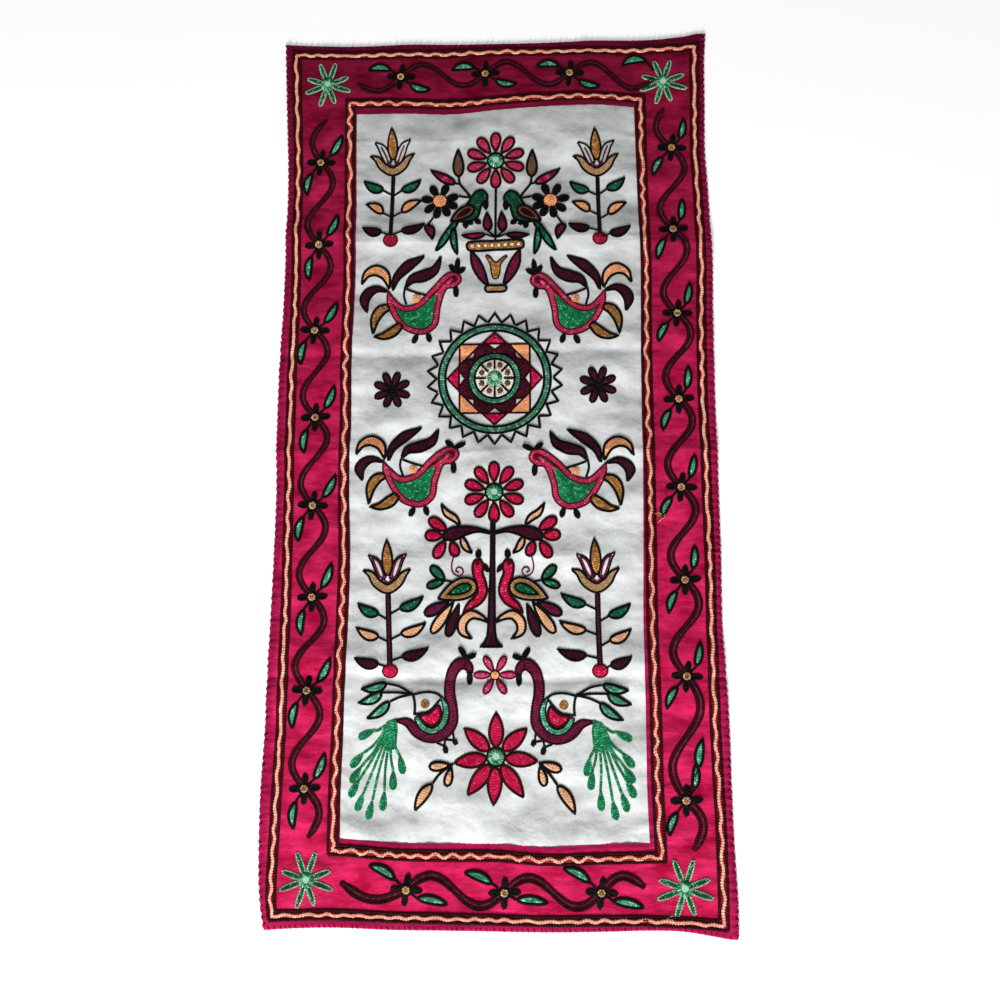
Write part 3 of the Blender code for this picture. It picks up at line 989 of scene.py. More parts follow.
def sew_wheel(rows):
    """A round of triangles, two green rings, an eight-pointed star and a dotted middle."""
    needle = Needle(rows, mirror_place("mirror_wheel"))
    teeth = 26
    half = 180 / teeth
    for angle in even_angles(teeth):
        needle.straight((polar(60, angle - half), polar(69.8, angle), polar(60, angle + half)), width=2.8)
    for radius, width in ((57.8, 2.6), (50.9, 2.6), (26.9, 2.2), (20.7, 2.2)):
        needle.ring(radius, "black", width)
    for radius in (55.5, 53.1, 24.9, 22.7):
        needle.ring(radius, "ring_green", 2.4)
    square, notch = 36.6, 13.6
    star_edge = (("wine_black", 2.2),)
    for quarter in range(4):
        turned = needle.spoke(90 * quarter + 90)
        turned.shape(polygon((0, 49.4), (-notch, square), (notch, square)), star_edge, "crimson")
        turned.shape(polygon((square, square), (notch, square), (square, notch)), star_edge, "orange")
    for n in range(8):
        eighth = needle.spoke(45 * n + 22.5)
        left, right = polar(31, 112.5), polar(31, 67.5)
        far_left, far_right = rotated((8, square), 22.5), rotated((-8, square), -22.5)
        low_left, low_right = polar(27.6, 110), polar(27.6, 70)
        kite = polygon(low_right, right, far_right, (0, 39.4), far_left, left, low_left, (0, 27.8))
        eighth.shape(kite, star_edge, "maroon")
    for radius in (10.4, 12.4, 14.4, 16.4, 18.4):
        needle.ring(radius, "cream", 2.1)
    for n in range(8):
        needle.straight((polar(8.6, 90 + 45 * n), polar(20.6, 90 + 45 * n)), width=2.4, lift=0.6)
        needle.disc(2.9, "brown", polar(14.4, 112.5 + 45 * n), lift=0.75)


def rotated(place, angle):
    cos, sin = math.cos(math.radians(angle)), math.sin(math.radians(angle))
    return place[0] * cos - place[1] * sin, place[0] * sin + place[1] * cos


def sew_dark_flowers(rows):
    for place in ((-105.8, 70.1), (106.4, 72.6)):
        needle = Needle(rows, place, turn=2)
        sew_petals(needle, even_angles(8, 22.5), 2, 19.5, 7.4, "maroon", (("black", 2.2),), (0.9, 0.5))
        needle.disc(2.6, "black")


def sew_pot(needle):
    """A flower pot with a dotted rim, plum sides and a forked ornament."""
    rim = ((-28, -0.5), (0, 0.6), (27.5, 1), (30.5, -3.5), (28, -8.5), (0, -9.8), (-27.5, -10), (-31, -5))
    needle.patch(rim, "gold")
    for n in range(8):
        needle.disc(1.7, "cream", (-24.5 + 7 * n, -4.9 + 0.17 * n), lift=0.7)
    needle.plumes(
        "plum",
        ((-25.5, -10.5, 2.5), (-20.5, -23, 10.5), (-14.5, -36, 9.5), (-9, -46.5, 3.5)),
        ((25.5, -9.5, 2.5), (20.5, -23, 11), (14.5, -36, 9.5), (9, -46, 3.5)),
    )
    fork = (
        (-10.5, -15), (-6.5, -15.5), (0, -22.5), (7.5, -17), (12.5, -15.5), (5.5, -24), (4.5, -33), (2, -39.8),
        (-2.2, -39.8), (-4.6, -32), (-5.8, -24),
    )
    needle.patch(fork, "gold", rings=(("black", 1.5),))
    foot = (
        (-9.5, -47), (0.5, -46.8), (10, -47), (12.2, -51), (9.5, -54.6), (0.5, -55), (-9.5, -54.8), (-11.8, -51)
    )
    needle.patch(foot, "tan")
    needle.line(((0, 0), (0, 30), (0.3, 61)), width=2.9)
    for joint, base, tip, width in (
        ((-0.8, 5), (-7.8, 11.7), (-9.5, 35), 9.8), ((0.8, 4.5), (7.8, 10.5), (6.2, 35.5), 9.8)
    ):
        needle.straight((joint, base), width=2.4)
        needle.leaf(base, tip, width, "plum", ends=(0.6, 1.2))
    for joint, base, tip, fill in (
        ((-1, 4.2), (-10, 7.6), (-37, 7), "crimson"), ((1, 3.6), (10.5, 7.4), (37, 6.4), "plum")
    ):
        needle.straight((joint, base), width=2.4)
        needle.leaf(base, tip, 7.6, fill, ends=(0.7, 1), bend=0.06 if base[0] < 0 else -0.04)


def sew_parrot(needle):
    """A parrot with a folded wing and a forked tail."""
    needle.plumes(
        "leaf_green",
        ((-23, -4, 6), (-29, -14, 7.5), (-37, -27, 7.5), (-44.5, -37, 2)),
        ((-26, -12, 5), (-25.5, -24, 7.5), (-24, -33, 6), (-21.5, -41, 1.5)),
    )
    claws = ((-3, -2.5), (3, -6.8), 5.4), ((-13.5, -4.5), (-12.5, -12.5), 5.4), ((-10, -5), (-5, -7), 5.4)
    needle.leaves("black", *claws, ends=(0.5, 0.8))
    body = (
        (-29, -3.5), (-21.5, 4.5), (-14, 13.5), (-8.5, 22), (-3.5, 29.5), (3.8, 32.2), (10, 26.5), (10, 19),
        (4.5, 15), (2.6, 8), (0.4, 1), (-5.5, -3.5), (-14, -5.5), (-20, -4.5),
    )
    needle.patch(body, "bottle_green")
    wing = blade((-29.5, -4.5), (-4, 12), 14.5, (0.9, 0.5), 0.02)
    needle.shape(wing, (("black", EDGE_WIDTH), ("brown", 2)), "wine_black", lift=0.6)
    needle.leaf((8.5, 19.5), (8.5, 9), 5.6, "black", ends=(0.5, 0.8), bend=-0.05, lift=0.2)
    needle.disc(1.4, "black", (4.5, 25), lift=0.6)


def sew_sprig(needle):
    """A dark daisy with an orange middle on a branch, with two leaves and a bud."""
    angles = (15, 68, 119, 171, 217, 258, 299, 338)
    sew_petals(needle, angles, 6.5, 20, 7.6, "black", BLACK_EDGE, (0.7, 0.5))
    needle.disc(7.6, "orange", rings=(("wine", 1.5),), lift=0.1)
    needle.line(((19.5, 5.4), (25, 4.2), (32, 3.4)), width=2.6)
    needle.line(((32.5, 4), (26.5, 12), (21, 19.5), (19.8, 28.5)), width=2.8)
    needle.leaf((19.8, 27), (18.9, 60.5), 12, "brown", ends=(0.62, 1.25))
    needle.straight(((21, 18.8), (15, 20.4)), width=2.3)
    needle.leaf((16.5, 19.6), (-11.5, 36.6), 9.8, "garnet", ends=(0.62, 1.1), bend=0.03)
    needle.line(((-6.5, -18), (-10, -23.5), (-14, -28.5)), width=2.4)
    needle.leaf((-14.4, -27), (-7.2, -46), 10, "plum", ends=(0.55, 1.1), bend=0.10)


def sew_flower_pot(rows):
    sew_pot(Needle(rows, (1.3, 229.3)))
    sew_daisy(Needle(rows, (1.4, 321.6)), petals=10, near=9.4, far=31.6, width=11.4, fill="rose")
    sew_pair(rows, sew_parrot, (-17.3, 256.6), (20.3, 255.4))
    sew_pair(rows, sew_sprig, (-57.9, 276.6), (59.4, 275))


def sew_branch(needle):
    """A drooping branch with four red petals, two pale leaves and a curl."""
    needle.plume(((-1.5, -14, 3), (-14, -11, 4.8), (-27, -11.6, 10), (-40, -15, 13.8), (-50, -18.6, 6)), "maroon")
    needle.leaves(
        "crimson",
        ((-45.5, -11.5), (-64, 1), 11.6),
        ((-49.5, -17), (-68, -16), 12),
        ((-47.5, -21.5), (-57.5, -39.5), 11.6),
        ((-41, -22), (-35.5, -38), 10.6),
        ends=(0.75, 0.5), rings=WINE_EDGE,
    )
    needle.plumes(
        "peach",
        ((-32.5, -6, 2.5), (-38, 1, 7), (-46, 6.5, 7), (-51.8, 16, 1.2)),
        ((-31, -17.5, 3), (-28.5, -24, 7.4), (-25.5, -29.5, 6.4), (-19.5, -34.8, 1.2)),
    )
    curl = (
        (-38.5, -37.5), (-40.6, -47), (-38.8, -54.5), (-33, -57.5), (-28.8, -53.6),
        (-30.8, -49.2), (-34.8, -48.8), (-36.2, -52.2), (-33.6, -53.8),
    )
    needle.line(curl, "plum", 1.7)


def sew_tree(rows, across, along):
    """A flowering tree: a trunk with a flared foot and two drooping branches."""
    trunk = (
        (0.8, 0, 4.4), (0.6, -40, 4.6), (0, -75, 6.2), (-0.4, -104, 7.6),
        (-0.6, -117, 9.5), (-0.6, -124, 16), (-0.6, -128, 25),
    )
    Needle(rows, (across, along)).plume(trunk, "maroon")
    sew_pair(rows, sew_branch, (across, along), (across + 1, along))


def sew_red_bird(needle):
    """A red bird with a dotted wing, a two-leaved sprout on its back and three tail feathers."""
    for base, tip, width, fill in (
        ((-13, 8), (-38.5, -5.5), 11, "plum"), ((-8.5, 8.5), (-31.5, -24), 11, "peach"),
        ((-3.5, 6.5), (-15.5, -27.5), 10.4, "maroon"),
    ):
        needle.leaf(base, tip, width, fill, ends=(1, 0.5))
    neck = (
        (14.2, 49.5, 7), (14.6, 43.5, 12), (14.6, 35, 10.4), (17.8, 26, 10.4), (19, 17, 10.4), (14.5, 9, 10),
        (6.5, 3, 7.5), (0, -4, 1.5),
    )
    needle.plume(neck, "crimson", rings=WINE_EDGE)
    wing = blade((-25.5, 10), (13.5, 25), 22, (0.95, 0.5), 0.02)
    needle.shape(wing, (("black", 2.6), ("tan", 1.7), ("gold", 1.7), ("black", 2.2)), "leaf_green", lift=0.4)
    needle.disc(2, "wine", (14, 45), lift=0.6)
    needle.leaf((14.8, 50.5), (15.6, 59.5), 5.4, "black", ends=(0.5, 0.6))
    needle.leaf((20, 45), (25.8, 36.5), 4.2, ends=(0.6, 0.7))
    needle.straight(((-8.5, 27), (-19.5, 28.6)), width=2.4)
    needle.leaves("leaf_green", ((-18.5, 28.6), (-33, 43), 10), ((-18.5, 28.6), (-37, 22), 8.8), ends=(0.7, 0.5))


def sew_crescent(needle):
    """The pale crescent at the foot of the tree."""
    crescent = ((-3, 17.5, 2), (-12, 23, 6.5), (-21, 25, 9.5), (-28.6, 18, 10), (-28.6, 8.5, 8.5), (-19.5, 1, 1.5))
    needle.plume(crescent, "peach")


def sew_tree_group(rows):
    sew_daisy(Needle(rows, (-0.1, -37.6)), petals=10, near=9.4, far=31.2, width=11.4, fill="crimson")
    sew_tree(rows, -2.1, -65.2)
    sew_pair(rows, sew_red_bird, (-30.9, -155.4), (28.7, -155.4))
    sew_pair(rows, sew_crescent, (-2.4, -186), (-2.4, -186))


# Ends of the peacock's green tail plumes, from the root of the tail
PEACOCK_TAIL = (
    (-72, 1.5), (-79, -26), (-79, -40.5), (-79.5, -54), (-72.5, -67), (-61.5, -75), (-47.5, -66.5), (-37.5, -47),
    (-28, -32),
)


def sew_peacock(needle):
    """A maroon peacock with a green-ringed wing, three leaf feathers and a fan of green plumes."""
    root = np.array((-39, 18))
    for n, end in enumerate(PEACOCK_TAIL):
        tip = np.array(end) + ((5.5, 2) if needle.mirror and 0 < n < 8 else (0, 0))
        reach = tip - root
        bow = np.array((-reach[1], reach[0])) * (0.05 - 0.012 * n)
        elbow = root + reach * 0.5 + bow
        drop = tip - reach / math.hypot(*reach) * 17.5
        needle.line((root, elbow, drop), "green", 2.7)
        needle.leaf(drop, tip, 6.3, "green", ends=(1, 0.42), rings=(("green", 2.1),))
    needle.shape(
        ((-44.5, 16.5), (-36, 19.8), (-34.5, 10), (-36, -8), (-44, -10), (-51, 2)), (("green", 2.1),), "green",
        lift=0.15,
    )
    for middle, base, tip in (
        ((-33, 51.5), (-45, 54), (-71.5, 49)), ((-33, 45.5), (-49.5, 45.5), (-73.5, 35.2)),
        ((-32, 41), (-42, 36.6), (-65.6, 20)),
    ):
        needle.line(((-19.5, 44), middle, base), width=2.6)
        needle.leaf(base, tip, 9.8, "sea_green", ends=(0.6, 1), bend=0.08)
    body = (
        (-36.5, 18.6, 1.5), (-24, 16.5, 8), (-14, 7, 10), (-1, 2.4, 10.2), (12, 6.5, 10.4), (20.2, 17, 9.2),
        (20, 31, 9), (17.2, 44, 10), (17.6, 58, 9.6), (22, 69, 10.6), (29.5, 74, 11), (36, 70, 8), (37, 64, 5),
    )
    needle.plume(body, "plum", rings=(("wine_black", 2.4),))
    band = ((9, 41, 2), (13.2, 33, 5.4), (13.2, 23, 6), (8.6, 13, 6), (0, 8.6, 6), (-9, 12, 6), (-15.5, 22, 4.6))
    needle.plume(band, "sea_green", rings=(("black", 1.5),), lift=0.2)
    half_disc = ((6, 34), (9.2, 26), (7.2, 17.8), (0, 13.2), (-8, 16.2), (-12.2, 23.6), (-2.5, 26.8))
    needle.patch(half_disc, "crimson", rings=WINE_EDGE, lift=0.2)
    needle.line(((-17, 24.4), (-3, 27.6), (8, 39)), width=2.3, lift=0.3)
    needle.line(((-21, 46), (-18.2, 41), (-17, 32), (-17.6, 24)), width=2.8)
    needle.line(((-20, 43.2), (-7, 46), (4, 44.8), (9.5, 41)), width=2.6)
    needle.disc(4.5, "gold", (-7, 34.4))
    needle.leaf((36.8, 66.5), (36.6, 53), 5)
    needle.leaves(None, ((33.5, 79), (26, 90), 4.6), ((33.5, 79), (43, 82.5), 4.6))
    needle.disc(1.5, "wine_black", (32, 71.5), lift=0.6)
    for leg, toe in ((((20.4, 9), (21.4, 1)), (24, -4.6)), (((13.2, 3), (12.2, -5.5)), (14.2, -12.8))):
        needle.straight(leg, width=2.4)
        needle.leaf(leg[1], toe, 4.4)
    for start, end in (((4, -2.6), (11.5, -5.6)), ((13, 0.5), (21, -0.5))):
        needle.straight((start, end), width=2.3)


def sew_peacocks(rows):
    sew_pair(rows, sew_peacock, (-60.6, -282.5), (61.2, -283.5))


def sew_bottom_flowers(rows):
    """A small pink flower, and below it a large pointed one with a spray on either side."""
    needle = Needle(rows, (1, -220))
    sew_petals(needle, even_angles(6, 0), 3.5, 21, 7, "pink", (("wine", 2),), (0.75, 0.5))
    needle.disc(4.2, "orange", rings=(("wine_black", 1.2),), lift=0.2)
    needle = Needle(rows, (2, -298.4))
    for tip in (
        (0.2, 43), (30.5, 27.5), (41, -4), (27, -38.6), (-2.4, -46), (-28, -36.6), (-41.5, -6), (-31.5, 27.5)
    ):
        start = np.array(tip) / math.hypot(*tip) * 8.6
        needle.leaf(start, tip, 14.6, "crimson", ends=(0.7, 0.95), rings=WINE_EDGE)
    needle.ring(8.8, "black", 2.2)
    for buds, stalk, tip in (
        (
            (((-43.5, -7.8), (-65.5, -9.8), 9.6), ((-43.5, -9.5), (-48, -28), 8.6)),
            ((-42, -7), (-54.5, -16), (-62, -25.8)), (-79, -51.8),
        ),
        (
            (((42, -5.5), (63.5, -12), 9.8), ((42.5, -7.5), (47, -27.5), 8.8)),
            ((41.5, -5), (50.5, -14.5), (59.5, -26.5)), (76.5, -54),
        ),
    ):
        needle.line(stalk, width=2.8)
        needle.leaves("peach", *buds, ends=(0.9, 0.5))
        needle.leaf(stalk[-1], tip, 10.8, "peach", ends=(0.62, 1), bend=-0.05 if tip[0] < 0 else 0.05)


def sew_corner_stars(rows):
    for corner, reach in (("top_left", 25), ("top_right", 25), ("bottom_left", 26), ("bottom_right", 26.5)):
        sew_corner_star(Needle(rows, mirror_place("mirror_star_" + corner)), reach)


def mirror_place(node):
    """Middle of a mirror in millimetres, from the frame."""
    low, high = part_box(node)
    return (low.x + high.x) / 2 / MM, (low.y + high.y) / 2 / MM


def new_object(name, data):
    item = bpy.data.objects.new(name, data)
    bpy.context.scene.collection.objects.link(item)
    return item


def feed(tree, socket, value):
    """Set an input, or link it where the value is itself a socket."""
    if isinstance(value, bpy.types.NodeSocket):
        tree.links.new(value, socket)
    else:
        socket.default_value = value


def add_node(tree, kind, properties=None, **inputs):
    """A node with its properties and inputs set; an input is a value, or a socket to link from."""
    node = tree.nodes.new(kind)
    for name, value in (properties or {}).items():
        setattr(node, name, value)
    for name, value in inputs.items():
        feed(tree, next(s for s in node.inputs if s.enabled and s.name == name.replace("_", " ")), value)
    return node


def out(node, name=None):
    """A node's first output that is in use, or the one with a name."""
    return next(s for s in node.outputs if s.enabled and name in (None, s.name))


def worked_out(tree, operation, *values, kind="ShaderNodeMath"):
    """What a maths node makes of its inputs, given in order."""
    node = add_node(tree, kind, {"operation": operation})
    for socket, value in zip(node.inputs, values):
        feed(tree, socket, value)
    return out(node)


def read_attribute(tree, name, kind="FLOAT"):
    return out(add_node(tree, "GeometryNodeInputNamedAttribute", {"data_type": kind}, Name=name), "Attribute")


def new_tree(name, inputs):
    """A geometry tree with named inputs, and the node that gives their values."""
    tree = bpy.data.node_groups.new(name, "GeometryNodeTree")
    for label, kind, default in inputs:
        item = tree.interface.new_socket(label, in_out="INPUT", socket_type=kind)
        if default is not None:
            item.default_value = default
    tree.interface.new_socket("Sewn thread", in_out="OUTPUT", socket_type="NodeSocketGeometry")
    return tree, tree.nodes.new("NodeGroupInput")


def joined(tree, *parts):
    node = tree.nodes.new("GeometryNodeJoinGeometry")
    for part in parts:
        tree.links.new(part, node.inputs[0])
    return out(node)


def finish_tree(tree, geometry, threads, backing=None):
    """Realize the instances, give each row its thread's material and end the tree."""
    realized = add_node(tree, "GeometryNodeRealizeInstances", Geometry=geometry)
    last = out(add_node(tree, "GeometryNodeSetShadeSmooth", Geometry=out(realized)))
    number = read_attribute(tree, "thread", "INT")
    for order, thread in enumerate(threads):
        painted = add_node(tree, "GeometryNodeSetMaterial", Geometry=last, Material=thread_material(thread))
        if order:
            same = add_node(
                tree, "FunctionNodeCompare", {"data_type": "INT", "operation": "EQUAL"}, A=number, B=thread
            )
            tree.links.new(out(same), painted.inputs["Selection"])
        last = out(painted)
    if backing:
        last = joined(tree, last, backing)
    tree.links.new(last, tree.nodes.new("NodeGroupOutput").inputs[0])
    return tree


def with_shade(tree, geometry, domain, seed):
    """Give each stitch or strand a random tone of its own."""
    tone = add_node(tree, "FunctionNodeRandomValue", Min=0, Max=1, Seed=seed)
    stored = {"data_type": "FLOAT", "domain": domain}
    return out(
        add_node(tree, "GeometryNodeStoreNamedAttribute", stored, Geometry=geometry, Name="shade", Value=out(tone))
    )


def tube(tree, curve, profile, width):
    """A solid with one profile along a curve."""
    return out(
        add_node(tree, "GeometryNodeCurveToMesh", Curve=curve, Profile_Curve=profile, Scale=width, Fill_Caps=True)
    )


def thread_core_profile(tree):
    """Section of the thread that lies under the links of a row: a flat top and sloping sides, a unit wide."""
    section = add_node(
        tree, "GeometryNodeCurvePrimitiveQuadrilateral", {"mode": "TRAPEZOID"},
        Bottom_Width=0.52, Top_Width=0.96, Height=0.26, Offset=0,
    )
    return out(add_node(tree, "GeometryNodeTransform", Geometry=out(section), Translation=(0, -0.08, 0)))


def chain_stitch_tree(name, threads):
    """Rows of chain stitch along edge lines: a link for each stitch, over a flat core of the same thread."""
    tree, given = new_tree(
        name,
        (
            ("Rows", "NodeSocketGeometry", None),
            ("Chain link", "NodeSocketObject", None),
            ("Backing", "NodeSocketObject", None),
            ("Stitch length", "NodeSocketFloat", 0.0026),
            ("Unevenness", "NodeSocketFloat", 0.1),
            ("Seed", "NodeSocketInt", 1),
        ),
    )
    curve = add_node(tree, "GeometryNodeMeshToCurve", Mesh=given.outputs["Rows"])
    stitches = add_node(
        tree, "GeometryNodeResampleCurve", {
            "mode": "LENGTH"
        }, Curve=out(curve), Length=given.outputs["Stitch length"]
    )
    toned = with_shade(tree, out(stitches), "POINT", given.outputs["Seed"])
    width = read_attribute(tree, "width")
    height = read_attribute(tree, "height")
    upright = add_node(tree, "GeometryNodeSetCurveNormal", {"mode": "Z_UP"}, Curve=toned)
    core = tube(tree, out(upright), thread_core_profile(tree), width)
    tangent = out(tree.nodes.new("GeometryNodeInputTangent"))
    ahead = add_node(tree, "FunctionNodeAlignRotationToVector", {"axis": "X"}, Vector=tangent)
    level = add_node(
        tree, "FunctionNodeAlignRotationToVector", {"axis": "Z", "pivot_axis": "X"},
        Rotation=out(ahead), Vector=(0, 0, 1),
    )
    link = add_node(tree, "GeometryNodeObjectInfo", Object=given.outputs["Chain link"])
    size = add_node(tree, "ShaderNodeCombineXYZ", X=given.outputs["Stitch length"], Y=width, Z=height)
    low, high = (worked_out(tree, sign, 1, given.outputs["Unevenness"]) for sign in ("SUBTRACT", "ADD"))
    spread = add_node(
        tree, "FunctionNodeRandomValue", {
            "data_type": "FLOAT_VECTOR"
        }, Min=low, Max=high, Seed=given.outputs["Seed"]
    )
    uneven = worked_out(tree, "MULTIPLY", out(size), out(spread), kind="ShaderNodeVectorMath")
    links = add_node(
        tree, "GeometryNodeInstanceOnPoints",
        Points=toned, Instance=out(link, "Geometry"), Rotation=out(level), Scale=uneven,
    )
    backing = add_node(tree, "GeometryNodeObjectInfo", Object=given.outputs["Backing"])
    return finish_tree(tree, joined(tree, core, out(links)), threads, out(backing, "Geometry"))


def strand_tree(name, threads):
    """Single strands of thread along edge lines, each as thick as its points say."""
    tree, given = new_tree(
        name, (("Strands", "NodeSocketGeometry", None), ("Sides", "NodeSocketInt", 5), ("Seed", "NodeSocketInt", 1))
    )
    curve = add_node(tree, "GeometryNodeMeshToCurve", Mesh=given.outputs["Strands"])
    toned = with_shade(tree, out(curve), "CURVE", given.outputs["Seed"])
    section = add_node(tree, "GeometryNodeCurvePrimitiveCircle", {"mode": "RADIUS"}, Radius=0.5)
    tree.links.new(given.outputs["Sides"], section.inputs["Resolution"])
    return finish_tree(tree, tube(tree, toned, out(section), read_attribute(tree, "width")), threads)


def make_chain_link():
    """One loop of a chain stitch, a unit long, wide and high: two strands that meet at both ends."""
    mesh = bpy.data.meshes.new("chain_link")
    loop = bmesh.new()
    ply = loop.loops.layers.uv.new("ply")
    for side in (-1, 1):
        tail = loop.verts.new((-0.62, side * 0.15, 0.48))
        ring = [
            loop.verts.new((0.08, side * across, up)) for across, up in ((0.27, 0.78), (0.53, 0.12), (-0.02, 0.12))
        ]
        head = loop.verts.new((0.64, side * 0.19, 0.64))
        for n in range(3):
            for end, along in ((tail, 0), (head, 1)):
                face = loop.faces.new((end, ring[n], ring[(n + 1) % 3]))
                for corner, place in zip(face.loops, ((along, n / 3), (0.5, n / 3), (0.5, (n + 1) / 3))):
                    corner[ply].uv = place
    bmesh.ops.recalc_face_normals(loop, faces=loop.faces[:])
    loop.to_mesh(mesh)
    loop.free()
    return new_object("chain_link", mesh)


def set_inputs(modifier, tree, values):
    """Set a modifier's inputs, found by name, through their sockets' identifiers."""
    for item in tree.interface.items_tree:
        if item.item_type == "SOCKET" and item.in_out == "INPUT" and item.name in values:
            modifier[item.identifier] = values[item.name]


def grow(name, mesh, tree, values):
    """Run a tree on a mesh and keep what comes out as a plain piece of thread."""
    source = new_object(name + "_lines", mesh)
    modifier = source.modifiers.new("sewing", "NODES")
    modifier.node_group = tree
    set_inputs(modifier, tree, values)
    depsgraph = bpy.context.evaluated_depsgraph_get()
    sewn = bpy.data.meshes.new_from_object(source.evaluated_get(depsgraph), depsgraph=depsgraph)
    sewn.name = name
    bpy.data.objects.remove(source)
    piece = new_object(name, sewn)
    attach(piece, "root")
    return piece


def sew(name, rows):
    """Turn gathered rows into one piece of chain stitch."""
    stitch = bpy.context.scene.runner_stitches
    length = stitch.stitch_length
    link = make_chain_link()
    tree = chain_stitch_tree(name + "_stitches", rows.used_threads())
    values = {"Chain link": link, "Stitch length": length, "Unevenness": stitch.unevenness, "Seed": stitch.seed}
    if rows.backings:
        backing = new_object(name + "_backing", rows.backing_mesh(name + "_backing"))
        values["Backing"] = backing
    piece = grow(name, rows.to_mesh(name + "_rows", length / MM), tree, values)
    bpy.data.objects.remove(link)
    if rows.backings:
        bpy.data.objects.remove(backing)
    return piece


def strands_mesh(name, strands):
    """Edge lines for single strands, each a thread and points of across, along, height and width."""
    mesh = bpy.data.meshes.new(name)
    points = np.vstack([np.array(line, float) for _, line in strands])
    edges, numbers, total = [], [], 0
    for thread, line in strands:
        edges += [(total + n, total + n + 1) for n in range(len(line) - 1)]
        numbers += [THREAD_NUMBER[thread]] * len(line)
        total += len(line)
    mesh.from_pydata(points[:, :3] * MM, edges, [])
    store(mesh, "thread", "INT", numbers)
    store(mesh, "width", "FLOAT", points[:, 3] * MM)
    return mesh


def sew_strands(name, strands):
    threads = sorted({THREAD_NUMBER[thread] for thread, _ in strands})
    tree = strand_tree(name + "_strands", threads)
    values = {"Sides": 5, "Seed": bpy.context.scene.runner_stitches.seed}
    return grow(name, strands_mesh(name + "_lines", strands), tree, values)


def new_material(name, **values):
    """A material, its tree and its shader, with some of the shader's values set."""
    material = bpy.data.materials.new(name)
    material.use_nodes = True
    shader = material.node_tree.nodes["Principled BSDF"]
    for label, value in values.items():
        shader.inputs[label.replace("_", " ")].default_value = value
    return material, material.node_tree, shader


def ramp(tree, factor, stops):
    """A colour ramp with stops of place and colour, driven by a factor."""
    node = tree.nodes.new("ShaderNodeValToRGB")
    for n, (place, colour) in enumerate(stops):
        element = node.color_ramp.elements[n] if n < 2 else node.color_ramp.elements.new(place)
        element.position = place
        element.color = (*colour, 1)
    tree.links.new(factor, node.inputs["Fac"])
    return node.outputs["Color"]


def shaded(tree, colour, shade):
    """A colour made darker by another."""
    mixed = {"data_type": "RGBA", "blend_type": "MULTIPLY"}
    return out(add_node(tree, "ShaderNodeMix", mixed, Factor=1, A=colour, B=shade))


def toned(colour, share):
    return tuple(min(part * share, 1) for part in colour)


def object_place(tree):
    return tree.nodes.new("ShaderNodeTexCoord").outputs["Object"]


def map_place(tree, name):
    return add_node(tree, "ShaderNodeUVMap", {"uv_map": name}).outputs["UV"]


def read_share(tree, name):
    return add_node(tree, "ShaderNodeAttribute", {"attribute_name": name}).outputs["Fac"]


def noise(tree, place, scale, **inputs):
    return add_node(tree, "ShaderNodeTexNoise", Vector=place, Scale=scale, **inputs).outputs["Fac"]


def stretched_noise(tree, place, scale, detail, rotation=(0, 0, 0), **inputs):
    """Noise with a scale of its own each way."""
    stretched = add_node(tree, "ShaderNodeMapping", Vector=place, Rotation=rotation, Scale=scale)
    return noise(tree, out(stretched), 1, Detail=detail, **inputs)


def bands(tree, place, direction, **inputs):
    kind = {"wave_type": "BANDS", "bands_direction": direction}
    return add_node(tree, "ShaderNodeTexWave", kind, Vector=place, **inputs).outputs["Fac"]


def bump(tree, strength, distance, height, **inputs):
    return out(add_node(tree, "ShaderNodeBump", Strength=strength, Distance=distance, Height=height, **inputs))


def share_along(tree, along):
    """Share of the runner's length at a place given in metres from its middle."""
    reach = OUTER_HALF_LENGTH * MM
    return out(add_node(tree, "ShaderNodeMapRange", Value=along, From_Min=-reach, From_Max=reach))


def length_part(tree, place):
    return add_node(tree, "ShaderNodeSeparateXYZ", Vector=place).outputs["Y"]


def thread_material(number):
    """Twisted thread: each stitch has its own tone, partly painted sheen, and a few get a painted highlight."""
    name, _, spread, bright = THREADS[number]
    label = "thread_" + name
    if label in bpy.data.materials:
        return bpy.data.materials[label]
    colour = tuple(getattr(bpy.context.scene.runner_threads, name))
    material, tree, shader = new_material(label, Roughness=0.55, Specular_IOR_Level=0.12)
    stops = [(0, toned(colour, 1 - spread)), (0.5, colour), (0.74, toned(colour, 1 + spread))]
    # Painted highlight: the highest tones go to the bright colour.
    if bright:
        stops += [(0.80, toned(colour, 1 + spread)), (1, linear(bright))]
    tree.links.new(ramp(tree, read_share(tree, "shade"), stops), shader.inputs["Base Color"])
    twist = bands(tree, map_place(tree, "ply"), "DIAGONAL", Scale=1.6, Distortion=0.6)
    fuzz = noise(tree, object_place(tree), 2200, Detail=2)
    tree.links.new(bump(tree, 0.5, FINE_BUMP, worked_out(tree, "ADD", twist, fuzz)), shader.inputs["Normal"])
    return material


def weave_height(tree, place, pitch):
    """Over-and-under height of a plain weave, on the cloth's own map in metres."""
    how = {"Scale": 0.314 / pitch, "Distortion": 1.2, "Detail": 2, "Detail_Scale": 0.4}
    return worked_out(tree, "MULTIPLY", *(bands(tree, place, direction, **how) for direction in ("X", "Y")))


def crease_height(tree, place):
    """Height of the narrow creases left where the cloth was folded, on the cloth's own map."""
    shifted = worked_out(tree, "MULTIPLY", 5 * MM, noise(tree, place, 14, Detail=2))
    along = worked_out(tree, "ADD", length_part(tree, place), shifted)
    flat = (0.5, 0.5, 0.5)
    stops = [(0, flat)]
    for fold in sorted(PRESSED_FOLDS):
        middle = (fold[0] + 2.5 + OUTER_HALF_LENGTH) / (2 * OUTER_HALF_LENGTH)
        level = 0.5 + 0.5 * math.copysign(min(abs(fold[1]) / 2.4, 1), fold[1])
        stops += [(middle - 0.0034, flat), (middle, (level, level, level)), (middle + 0.0034, flat)]
    return ramp(tree, share_along(tree, along), stops)


